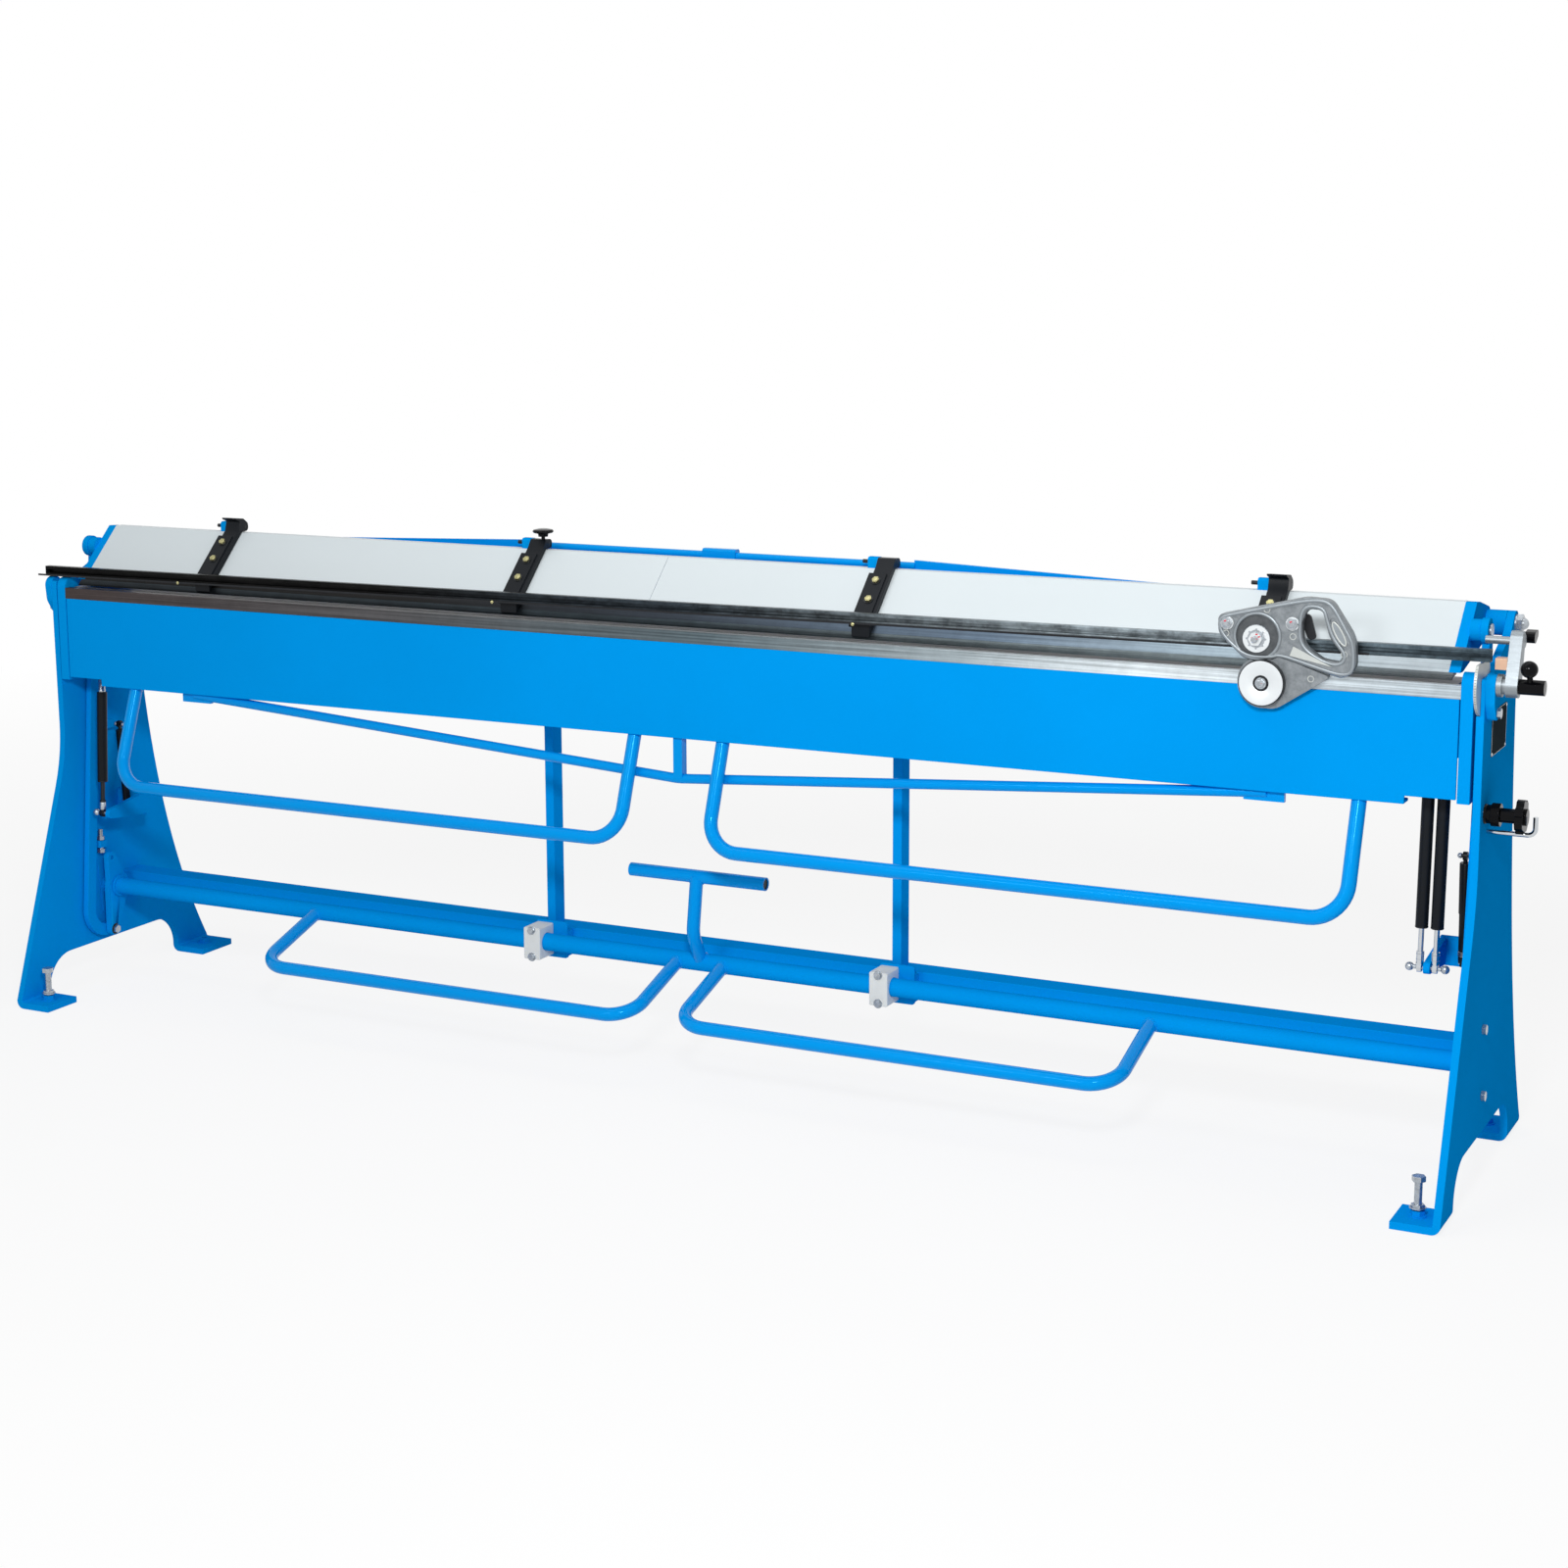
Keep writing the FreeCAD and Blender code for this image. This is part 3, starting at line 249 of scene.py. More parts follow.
blue = (0.0006, 0.32, 0.84)
blueTint = (0.1, 0.6, 1)
materials = {
    "bluePaint": paint("blue_sheet_paint", blue, 0.38, specular=0.0, peel=0.06, speck=0.035, tint=blueTint),
    "blueTube": paint("blue_tube_paint", blue, 0.1, specular=0.2, peel=0.05, speck=0.03, tint=blueTint),
    "whitePaint": paint("white_sheet_paint", (0.72, 0.79, 0.82), 0.42, specular=0.3, peel=0.03, speck=0.012),
    "blackPaint": paint("black_bracket_paint", (0.006, 0.008, 0.011), 0.34, specular=0.14, peel=0.1,
                        speck=0.3),
    "redPaint": paint("red_marking_paint", (0.72, 0.02, 0.05), 0.5, specular=0.3),
    "jawSteel": metal("jaw_steel", (0.2, 0.2, 0.2), 0.4, grain=(0.12, 4, 4), grainScale=90),
    # Rail, strip, nose and blade: their colour stops along X are a painted reflection, dark at the left end
    # and bright at the right
    "rail": longMetal("rail_steel", [(0, 0.003), (0.28, 0.008), (0.5, (0.03, 0.04, 0.05)),
                                     (0.66, (0.13, 0.155, 0.17)), (0.84, (0.26, 0.31, 0.34)),
                                     (0.9, (0.09, 0.12, 0.14)), (1, (0.045, 0.07, 0.09))], 0.36, 0.55),
    "strip": longMetal("glossy_strip_steel", [(0, 0.004), (0.3, 0.014), (0.5, (0.035, 0.045, 0.06)),
                                              (0.7, (0.1, 0.14, 0.19)), (0.84, (0.27, 0.34, 0.39)),
                                              (0.93, (0.34, 0.39, 0.42))], 0.42, 0.1, streak=0.2),
    "nose": longMetal("nose_steel", [(0, (0.018, 0.024, 0.03)), (0.5, (0.04, 0.055, 0.065)),
                                     (0.82, (0.14, 0.17, 0.18)), (0.92, (0.1, 0.12, 0.13)),
                                     (1, (0.08, 0.085, 0.09))], 0.3, 0.15, streak=0.3),
    "blade": longMetal("blade_steel", [(0, (0.055, 0.04, 0.038)), (0.3, (0.09, 0.09, 0.095)),
                                       (0.52, (0.11, 0.15, 0.17)), (0.68, (0.34, 0.4, 0.43)),
                                       (0.8, (0.72, 0.79, 0.83)), (1, (0.42, 0.49, 0.54))], 0.34, 0.1,
                       streak=0.35),
    "zinc": metal("bright_zinc", (0.5, 0.54, 0.58), 0.26, 0.35, grainScale=150),
    "yellowZinc": metal("yellow_zinc", (0.5, 0.47, 0.24), 0.3, 0.3, grainScale=150),
    "chrome": metal("polished_chrome", (0.6, 0.63, 0.66), 0.12, 0.1, strength=0.02, metallic=1.0),
    "brightSteel": metal("ground_steel", (0.78, 0.82, 0.84), 0.35, 0.06, grainScale=30, strength=0.04,
                         metallic=0.4),
    "darkSteel": metal("burnished_steel", (0.03, 0.032, 0.036), 0.35, 0.3),
    "greySteel": paint("grey_plate_enamel", (0.03, 0.042, 0.05), 0.55, specular=0.0, speck=0.2),
    "castAluminium": castMetal("cast_aluminium"),
    "plateAluminium": metal("turned_aluminium", (0.29, 0.325, 0.35), 0.42, 0.14, grain=(1, 6, 6),
                            metallic=0.7),
    "dialAluminium": metal("dial_aluminium", (0.56, 0.59, 0.57), 0.45, 0.06, metallic=0.3),
    "copper": metal("copper_block", (0.72, 0.46, 0.32), 0.42, 0.08, metallic=0.4),
    "whitePlastic": plastic("white_nylon", (0.8, 0.82, 0.8), 0.5),
    "blackPlastic": plastic("black_knob_plastic", (0.003, 0.003, 0.004), 0.1, specular=0.1),
}

nodeMaterials = {
    "blueTube": ["handle_left", "handle_right", "pedal_left", "pedal_right", "t_bar", "folding_truss",
                 "clamp_beam_truss"],
    "whitePaint": ["clamp_cover"],
    "blackPaint": ["rail_brackets", "folding_strut_cylinder_right", "folding_strut_cylinder_left",
                   "rear_strut_cylinder_right", "rear_strut_cylinder_left"],
    "jawSteel": ["lower_jaw_bar"],
    "blade": ["folding_blade"],
    "nose": ["nose_bar"],
    "rail": ["cutter_rail"],
    "zinc": ["levelling_bolts", "frame_bolts", "clamp_pivot_bolts", "lever_stop_screws", "link_pins",
             "cutter_bolts"],
    "brightSteel": ["upper_cutting_roller"],
    "darkSteel": ["lower_cutting_roller", "folding_strut_rod_left",
                  "rear_strut_rod_right", "rear_strut_rod_left"],
    "yellowZinc": ["carrier_bolts"],
    "chrome": ["folding_strut_rod_right", "lock_rod"],
    "castAluminium": ["cutter_housing"],
    "plateAluminium": ["stop_arm"],
    "dialAluminium": ["angle_dial"],
    "greySteel": ["data_plate"],
    "copper": ["stop_block"],
    "whitePlastic": ["shaft_bearing_blocks"],
    "blackPlastic": ["rail_lock_knob", "stop_grip", "stop_clamp_lever", "star_wheel", "star_knob_base"],
}
materialOf = {name: key for key, names in nodeMaterials.items() for name in names}


def dressNodes():
    for name, node in frame["nodes"].items():
        material = materials[materialOf.get(name, "bluePaint")]
        if not node.material_slots:
            node.data.materials.append(material)
        for slot in node.material_slots:
            slot.material = material


# A copy of a CAD piece with softened edges stands for it, with the bevel's width in millimetres. Where a
# node holds solids of two finishes, each finish gets its own copy, and a test on a solid's lowest and
# highest corner, in millimetres, picks the solids of the second one.
rounding = {
    "end_plate_left": 1.2, "end_plate_right": 1.2, "cross_beam": 2.5, "support_posts": 1.5,
    "folding_end_brackets": 1.2, "folding_apron": 1.5, "clamp_end_plates": 1.5, "folding_hinge_blocks": 1.2,
    "clamp_link_left": 1.2, "clamp_link_right": 1.2, "shaft_levers": 1, "strut_brackets": 1,
    "shaft_flange_bearings": 0.8, "bearing_brackets": 0.8, "shaft_bearing_blocks": 1.5,
    "carrier_hinge_blocks": 1, "clamp_beam_truss": 0.8, "stop_arm": 0.8, "stop_block": 0.7,
    "rail_brackets": 0.6, "cutter_rail": 0.5, "nose_bar": 0.35, "folding_blade": 0.3, "clamp_cover": 0.25,
    "stop_clamp_lever": 1.5, "star_knob_base": 0.8, "lower_cutting_roller": 1.0, "data_plate": 0.3,
    "clamp_pivot_bolts": 0.6, "levelling_bolts": 0.6, "frame_bolts": 0.6, "lever_stop_screws": 0.5,
    "stop_grip": 1.0, "rail_lock_knob": 1.5, "star_wheel": 2.0, "cutter_housing": 0.6,
    "cutter_bolts": 0.5, "carrier_bolts": 0.5}
secondFinish = {
    "clamp_cover": ("seam_strip", "strip", "machined_steel", lambda low, high: high.z < 978.2),
    "cutter_rail": ("edge_strip", "darkSteel", "galvanised_steel", lambda low, high: low.x < -1630),
    "levelling_bolts": ("welded_nuts", "bluePaint", "blue_paint", lambda low, high: high.z < 26),
    "cutter_bolts": ("catch_lever", "darkSteel", "black_paint", lambda low, high: low.y > -160),
    "carrier_bolts": ("pins", "darkSteel", "zinc_steel", lambda low, high: high.x - low.x > 30)}


def finished(piece, sharpAngle=35):
    for face in piece.data.polygons:
        face.use_smooth = True
    piece.data.set_sharp_from_angle(angle=math.radians(sharpAngle))
    return piece


def applied(piece):
    bpy.context.view_layer.update()
    graph = bpy.context.evaluated_depsgraph_get()
    mesh = bpy.data.meshes.new_from_object(piece.evaluated_get(graph))
    piece.modifiers.clear()
    old = piece.data
    piece.data = mesh
    bpy.data.meshes.remove(old)
    return piece


def solidsOf(shape):
    for face in shape.faces:
        face.tag = False
    for start in shape.faces:
        if start.tag:
            continue
        start.tag = True
        group = [start]
        for face in group:
            for edge in face.edges:
                for other in edge.link_faces:
                    if not other.tag:
                        other.tag = True
                        group.append(other)
        yield group


def picked(shape, test, wanted):
    surplus = []
    for group in solidsOf(shape):
        corners = [vert.co * 1000 for face in group for vert in face.verts]
        low = Vector([min(c[axis] for c in corners) for axis in range(3)])
        high = Vector([max(c[axis] for c in corners) for axis in range(3)])
        low.x += middleX
        high.x += middleX
        if test(low, high) != wanted:
            surplus += group
    bmesh.ops.delete(shape, geom=surplus, context="FACES")


def roundedCopy(name, width, tail="shown", material=None, slot=None, test=None, wanted=True):
    shape = bmesh.new()
    shape.from_mesh(frame["nodes"][name].data)
    bmesh.ops.remove_doubles(shape, verts=shape.verts, dist=1e-6)
    bmesh.ops.dissolve_limit(shape, angle_limit=math.radians(0.5), verts=shape.verts, edges=shape.edges)
    if test:
        picked(shape, test, wanted)
    mesh = bpy.data.meshes.new(name + "_" + tail)
    shape.to_mesh(mesh)
    shape.free()
    if "custom_normal" in mesh.attributes:
        mesh.attributes.remove(mesh.attributes["custom_normal"])
    mesh.materials.clear()
    mesh.materials.append(materials[material or materialOf.get(name, "bluePaint")])
    piece = bpy.data.objects.new(name + "_" + tail, mesh)
    bpy.context.scene.collection.objects.link(piece)
    for face in mesh.polygons:
        face.use_smooth = True
        face.material_index = 0
    edgeBevel = piece.modifiers.new("edges", "BEVEL")
    edgeBevel.width = width / 1000
    edgeBevel.segments = 2
    edgeBevel.limit_method = "ANGLE"
    edgeBevel.angle_limit = math.radians(38)
    edgeBevel.harden_normals = True
    applied(piece)
    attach(piece, bodyOf[name])
    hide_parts(name)
    slot or slotOf[name]
    return piece


def roundNodes():
    for name, width in rounding.items():
        if name not in secondFinish:
            roundedCopy(name, width)
            continue
        tail, material, slot, test = secondFinish[name]
        roundedCopy(name, width, test=test, wanted=False)
        roundedCopy(name, width, tail, material, slot, test, True)


# Small parts: a turned profile gives one of them, and a node tree sets it on every spot
def turned(profile, sides=32, ripple=None):
    shape = bmesh.new()
    rings = []
    for index, (radius, height) in enumerate(profile):
        if index and (radius, height) == profile[0]:
            rings.append(rings[0])
            continue
        count = sides if radius else 1
        ring = []
        for step in range(count):
            angle = 2 * math.pi * step / sides
            reach = radius / 1000 * (ripple(angle, radius) if ripple else 1)
            ring.append(shape.verts.new((reach * math.cos(angle), reach * math.sin(angle), height / 1000)))
        rings.append(ring)
    for lower, upper in zip(rings, rings[1:]):
        for step in range(sides):
            ahead = step + 1
            corners = [lower[step % len(lower)], lower[ahead % len(lower)], upper[ahead % len(upper)],
                       upper[step % len(upper)]]
            corners = list(dict.fromkeys(corners))
            if len(corners) > 2:
                shape.faces.new(corners)
    return meshFrom(shape, "turned_part")


def meshFrom(shape, name):
    bmesh.ops.recalc_face_normals(shape, faces=shape.faces)
    mesh = bpy.data.meshes.new(name)
    shape.to_mesh(mesh)
    shape.free()
    return mesh


def block(width, depth, height):
    shape = bmesh.new()
    bmesh.ops.create_cube(shape, size=1)
    bmesh.ops.scale(shape, vec=(width / 1000, depth / 1000, height / 1000), verts=shape.verts)
    bmesh.ops.bevel(shape, geom=shape.edges, offset=min(width, depth, height) / 6000, segments=1,
                    affect="EDGES")
    return meshFrom(shape, "block_part")


def washer(outer, inner, thick):
    edge = min(0.3, thick / 3)
    return turned([(inner, 0), (outer, 0), (outer, thick - edge), (outer - edge, thick), (inner, thick),
                   (inner, 0)])


def dome(radius, height):
    turns = [step * math.pi / 12 for step in range(6)]
    curve = [(radius * math.cos(turn), height * math.sin(turn)) for turn in turns]
    return turned([(0, 0)] + curve + [(0, height)], 20)


def curveMesh(name, data):
    holder = bpy.data.objects.new(name, data)
    bpy.context.scene.collection.objects.link(holder)
    bpy.context.view_layer.update()
    graph = bpy.context.evaluated_depsgraph_get()
    mesh = bpy.data.meshes.new_from_object(holder.evaluated_get(graph))
    bpy.data.objects.remove(holder)
    return mesh


def makeRepeater():
    tree = bpy.data.node_groups.new("part_on_spots", "GeometryNodeTree")
    sockets = tree.interface
    sockets.new_socket("Spots", in_out="INPUT", socket_type="NodeSocketGeometry")
    sockets.new_socket("Part", in_out="INPUT", socket_type="NodeSocketObject")
    sockets.new_socket("Part scale", in_out="INPUT", socket_type="NodeSocketFloat")
    sockets.new_socket("Finish", in_out="INPUT", socket_type="NodeSocketMaterial")
    sockets.new_socket("Parts", in_out="OUTPUT", socket_type="NodeSocketGeometry")
    given = tree.nodes.new("NodeGroupInput")
    result = tree.nodes.new("NodeGroupOutput")
    shown = addNode(tree, "GeometryNodeObjectInfo")
    facing = addNode(tree, "GeometryNodeInputNamedAttribute", data_type="FLOAT_VECTOR", Name="facing")
    spin = addNode(tree, "GeometryNodeInputNamedAttribute", data_type="FLOAT", Name="spin")
    aimed = addNode(tree, "FunctionNodeAlignRotationToVector", axis="Z")
    ownTurn = addNode(tree, "FunctionNodeAxisAngleToRotation")
    turnedPart = addNode(tree, "FunctionNodeRotateRotation", rotation_space="LOCAL")
    placed = addNode(tree, "GeometryNodeInstanceOnPoints")
    solid = addNode(tree, "GeometryNodeRealizeInstances")
    dressed = addNode(tree, "GeometryNodeSetMaterial")
    ownTurn.inputs["Axis"].default_value = (0, 0, 1)
    for source, target in (
            (given.outputs["Part"], shown.inputs["Object"]),
            (facing.outputs["Attribute"], aimed.inputs["Vector"]),
            (spin.outputs["Attribute"], ownTurn.inputs["Angle"]),
            (aimed.outputs["Rotation"], turnedPart.inputs["Rotation"]),
            (ownTurn.outputs["Rotation"], turnedPart.inputs["Rotate By"]),
            (given.outputs["Spots"], placed.inputs["Points"]),
            (shown.outputs["Geometry"], placed.inputs["Instance"]),
            (turnedPart.outputs["Rotation"], placed.inputs["Rotation"]),
            (given.outputs["Part scale"], placed.inputs["Scale"]),
            (placed.outputs["Instances"], solid.inputs["Geometry"]),
            (solid.outputs["Geometry"], dressed.inputs["Geometry"]),
            (given.outputs["Finish"], dressed.inputs["Material"]),
            (dressed.outputs["Geometry"], result.inputs["Parts"])):
        tree.links.new(source, target)
    return tree


def addPiece(name, mesh, body, material, sharpAngle=35):
    mesh.materials.clear()
    mesh.materials.append(materials[material])
    piece = bpy.data.objects.new(name, mesh)
    bpy.context.scene.collection.objects.link(piece)
    finished(piece, sharpAngle)
    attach(piece, body)
    return piece


def repeat(name, part, spots, body, material, scale=1.0, sharpAngle=35):
    # A spot is a place, the way the part faces, and its own turn in degrees
    tree = bpy.data.node_groups.get("part_on_spots") or makeRepeater()
    mesh = bpy.data.meshes.new(name + "_spots")
    mesh.from_pydata([at(*spot[0]) for spot in spots], [], [])
    mesh.attributes.new("facing", "FLOAT_VECTOR", "POINT")
    mesh.attributes.new("spin", "FLOAT", "POINT")
    for index, spot in enumerate(spots):
        mesh.attributes["facing"].data[index].vector = Vector(spot[1]).normalized()
        mesh.attributes["spin"].data[index].value = math.radians(spot[2] if len(spot) > 2 else 0)
    sample = bpy.data.objects.new(name + "_sample", part)
    holder = bpy.data.objects.new(name + "_holder", mesh)
    bpy.context.scene.collection.objects.link(holder)
    bpy.context.scene.collection.objects.link(sample)
    modifier = holder.modifiers.new("spots", "NODES")
    modifier.node_group = tree
    for label, value in (("Part", sample), ("Part scale", scale), ("Finish", materials[material])):
        modifier[tree.interface.items_tree[label].identifier] = value
    applied(holder)
    done = holder.data.copy()
    bpy.data.objects.remove(holder)
    bpy.data.objects.remove(sample)
    done.name = name
    return addPiece(name, done, body, material, sharpAngle)


def joined(name, meshes, body, material, sharpAngle=35):
    shape = bmesh.new()
    for mesh in meshes:
        shape.from_mesh(mesh)
    return addPiece(name, meshFrom(shape, name), body, material, sharpAngle)


def moved(mesh, place, facing=(0, 0, 1), spin=0):
    aim = Vector(facing).normalized().to_track_quat("Z", "Y").to_matrix().to_4x4()
    mesh.transform(Matrix.Translation(at(*place)) @ aim @ Matrix.Rotation(math.radians(spin), 4, "Z"))
    return mesh


front = (0, -1, 0)
rightward = (1, 0, 0)

# Roller cutter. A mark is its distance right, out and up from a middle, and its own turn in degrees.
cutter = {
    "face": -175, "webFace": -173.4, "armFace": -172, "rollerFace": -185,
    "outerRim": ((1129, 1034), (1146, 1041), (1215, 1058), (1282, 1074), (1316, 1077), (1334, 1068),
                 (1356, 1030), (1371, 1005), (1374, 975), (1372, 951), (1352, 945), (1300, 959),
                 (1240, 976), (1226, 969), (1180, 968), (1150, 991), (1131, 1012)),
    "loopRim": ((1275, 1034), (1282, 1066), (1318, 1065), (1325, 1040), (1337, 1008), (1362, 981),
                (1350, 962), (1318, 967), (1278, 992)),
    "rimRadius": 3.2, "rimRise": 2.0,
    "plaque": ((1266, 992), (1337, 959.5), (1260, 975)), "plaqueRise": 2.6, "plaqueDepth": 4,
    "thumbMiddle": (1347, 1019), "thumbLong": 24, "thumbWide": 6.5, "thumbAim": (0.5, 0.86),
    "thumbPoints": 12, "thumbRimRadius": 1.5, "thumbRimRise": 1.1, "padRise": 0.5, "padDepth": 1.2,
    "castMarks": ((1142, 1008), (1216, 1055), (1357, 983)), "webMark": (1264, 1009),
    "armMark": (1298, 935),
    "bolts": ((1143, 1027), (1263, 1032)), "boltWasher": (12.4, 5, 1.2), "crownRise": 7,
    "boltMark": (-1, 8.5, 4.5, 25),
    "hub": (1197, 1001), "lockWasherSunk": 1, "discSunk": 3.6, "studRise": 6.5,
    "stud": {"radius": 6, "pitch": 1.5, "length": 7, "core": 5.2},
    "hubMarks": ((4, 13.6, 1, 40), (7.6, 7.2, 5, 15), (-3, 13.6, 2.5, 110), (3, 7.2, 9.4, 0)),
    "lower": (1211, 923), "lowerPlateSunk": 0.1, "lowerBoltRise": 1.0, "lowerBoltTurn": 14,
    "lowerMark": (3.6, 5.4, 1.5, 60)}


def ridge(name, corners, radius, rise, material):
    # A raised rim: a round bar along a closed smooth path, flattened on to the casting's face
    data = bpy.data.curves.new(name, "CURVE")
    data.dimensions = "3D"
    data.bevel_depth = radius / 1000
    data.bevel_resolution = 4
    data.resolution_u = 10
    spline = data.splines.new("NURBS")
    spline.points.add(len(corners) - 1)
    spline.order_u = 3
    spline.use_cyclic_u = True
    for point, (x, z) in zip(spline.points, corners):
        point.co = (*at(x, 0, z), 1)
    mesh = curveMesh(name + "_path", data)
    for vert in mesh.vertices:
        vert.co.y = cutter["face"] / 1000 + vert.co.y * rise / radius
    addPiece(name, mesh, "cutter", material, 80)


def raisedFace(name, corners, rise, depth, material):
    # A flat face in front of the casting, with sides that run back into it
    shape = bmesh.new()
    face = shape.faces.new([shape.verts.new(at(x, cutter["face"] - rise, z)) for x, z in corners])
    grown = bmesh.ops.extrude_face_region(shape, geom=[face])
    backVerts = [part for part in grown["geom"] if isinstance(part, bmesh.types.BMVert)]
    bmesh.ops.translate(shape, vec=(0, depth / 1000, 0), verts=backVerts)
    addPiece(name, meshFrom(shape, name), "cutter", material)


def markSpots(middle, face, marks):
    return [((middle[0] + right, face - out, middle[1] + up), front, turn) for right, out, up, turn in marks]


def addCastingDetails():
    # The outer, loop and hub rims are raised, and their aluminium, lighter than the casting, is a painted
    # highlight along the raised edges
    for name, corners in (("casting_outer_rim", cutter["outerRim"]), ("casting_loop_rim", cutter["loopRim"])):
        ridge(name, corners, cutter["rimRadius"], cutter["rimRise"], "plateAluminium")
    hubRim = turned([(38.6, -0.4), (39.6, 1.0), (41.4, 1.3), (43.2, 0.8), (44.2, -0.4), (38.6, -0.4)], 96)
    hubX, hubZ = casting["hub"]
    joined("casting_hub_rim", [moved(hubRim, (hubX, cutter["face"], hubZ), front)], "cutter",
           "plateAluminium", 80)
    raisedFace("casting_plaque_face", cutter["plaque"], cutter["plaqueRise"], cutter["plaqueDepth"],
               "dialAluminium")
    # The thumb hollow is not cut: a lighter oval face with a lighter rim stands in front of the handle as a
    # painted highlight of the hollow's bright inside
    thumbX, thumbZ = cutter["thumbMiddle"]
    aimX, aimZ = cutter["thumbAim"]
    path = []
    for step in range(cutter["thumbPoints"]):
        angle = 2 * math.pi * step / cutter["thumbPoints"]
        along = cutter["thumbLong"] * math.cos(angle)
        across = cutter["thumbWide"] * math.sin(angle)
        path.append((thumbX + along * aimX + across * aimZ, thumbZ - along * aimZ + across * aimX))
    ridge("handle_thumb_rim", path, cutter["thumbRimRadius"], cutter["thumbRimRise"], "dialAluminium")
    raisedFace("handle_thumb_face", path, cutter["padRise"], cutter["padDepth"], "plateAluminium")
    ring = turned([(4.4, 0), (6.2, 0), (5.9, 0.7), (4.8, 0.7), (4.4, 0)], 24)
    spots = [((x, cutter["face"], z), front) for x, z in cutter["castMarks"]]
    for (x, z), face in ((cutter["webMark"], cutter["webFace"]), (cutter["armMark"], cutter["armFace"])):
        spots.append(((x, face, z), front))
    repeat("cutter_cast_marks", ring, spots, "cutter", "dialAluminium")


def addCutterBoltDetails():
    spots = [((x, cutter["face"], z), front) for x, z in cutter["bolts"]]
    repeat("cutter_bolt_washers", washer(*cutter["boltWasher"]), spots, "cutter", "brightSteel")
    crown = turned([(0, 0), (6.5, 0), (6.5, 0.8), (5.6, 1.6), (0, 1.6)], 20)
    spots = [((x, cutter["face"] - cutter["crownRise"], z), front) for x, z in cutter["bolts"]]
    repeat("cutter_bolt_crowns", crown, spots, "cutter", "zinc")
    spots = []
    for bolt in cutter["bolts"]:
        spots += markSpots(bolt, cutter["face"], [cutter["boltMark"]])
    repeat("cutter_bolt_marks", block(4.6, 2.4, 0.5), spots, "cutter", "redPaint")


def lockTooth(angle, radius):
    # Eight teeth on the lock washer's outer edge
    return 1.18 if radius > 12 and math.cos(8 * angle) > 0.55 else 1


def addHubDetails():
    hubX, hubZ = cutter["hub"]
    lockWasher = turned([(11, 0), (16, 0), (16, 1.1), (11, 1.1), (11, 0)], 96, lockTooth)
    disc = turned([(24.2, 0), (25.6, 0), (25.6, 2.2), (24.9, 2.9), (24.2, 2.2), (24.2, 0)], 64)
    for name, mesh, rise in (("hub_lock_washer", lockWasher, -cutter["lockWasherSunk"]),
                             ("hub_disc_rim", disc, -cutter["discSunk"]),
                             ("hub_stud", threaded(**cutter["stud"]), cutter["studRise"])):
        joined(name, [moved(mesh, (hubX, cutter["face"] - rise, hubZ), front)], "upper_roller",
               "zinc")
    spots = markSpots(cutter["hub"], cutter["face"], cutter["hubMarks"])
    repeat("hub_marks", block(4.2, 2.2, 0.5), spots, "upper_roller", "redPaint")


def addLowerRollerDetails():
    lowX, lowZ = cutter["lower"]
    plate = turned([(14.5, 0), (40.2, 0), (40.2, 0.3), (39.6, 0.8), (15, 0.8), (14.5, 0.5), (14.5, 0)], 96)
    plateY = cutter["rollerFace"] + cutter["lowerPlateSunk"]
    joined("lower_roller_face", [moved(plate, (lowX, plateY, lowZ), front)], "lower_roller",
           "brightSteel")
    seat = turned([(0, 0), (10.4, 0), (10.4, 0.9), (9.6, 1.6), (0, 1.6)], 40)
    head = turned([(0, 1.6), (7.6, 1.6), (7.6, 4.4), (6.6, 5.2), (3.6, 5.2), (3.2, 4.2), (0, 4.2)], 6)
    place = (lowX, cutter["rollerFace"] - cutter["lowerBoltRise"], lowZ)
    meshes = [moved(seat, place, front), moved(head, place, front, cutter["lowerBoltTurn"])]
    joined("lower_roller_bolt", meshes, "cutter", "zinc")
    spots = markSpots(cutter["lower"], cutter["rollerFace"], [cutter["lowerMark"]])
    repeat("lower_roller_mark", block(3.4, 2.0, 0.5), spots, "cutter", "redPaint")


# A thread's ridge starts a little inside its core, and the core reaches past the thread at both ends.
# Sunk and chamfer are millimetres, the other two are shares of the pitch.
threadForm = {"sunk": 0.2, "halfWidth": 0.42, "overrun": 0.4, "chamfer": 0.6}


def threaded(radius, pitch, length, core, around=14):
    # A screw thread: one ridge wound round a core
    shape = bmesh.new()
    steps = int(around * length / pitch)
    root = core - threadForm["sunk"]
    previous = None
    for step in range(steps + 1):
        angle = 2 * math.pi * step / around
        height = pitch * step / around
        fade = min(1, step / around, (steps - step) / around)
        crest = core + (radius - core) * fade
        section = []
        for reach, rise in ((root, -threadForm["halfWidth"]), (crest, 0), (root, threadForm["halfWidth"])):
            section.append(shape.verts.new((reach / 1000 * math.cos(angle), reach / 1000 * math.sin(angle),
                                            (height + rise * pitch) / 1000)))
        if previous:
            for corner in range(3):
                other = (corner + 1) % 3
                shape.faces.new((previous[corner], previous[other], section[other], section[corner]))
        else:
            shape.faces.new(section)
        previous = section
    shape.faces.new(previous)
    wound = meshFrom(shape, "thread_ridge")
    low = -pitch * threadForm["overrun"]
    high = length + pitch * threadForm["overrun"]
    chamfer = threadForm["chamfer"]
    pair = bmesh.new()
    pair.from_mesh(wound)
    pair.from_mesh(turned([(0, low), (core, low), (core, high), (core - chamfer, high + chamfer),
                           (0, high + chamfer)], around))
    return meshFrom(pair, "threaded_part")


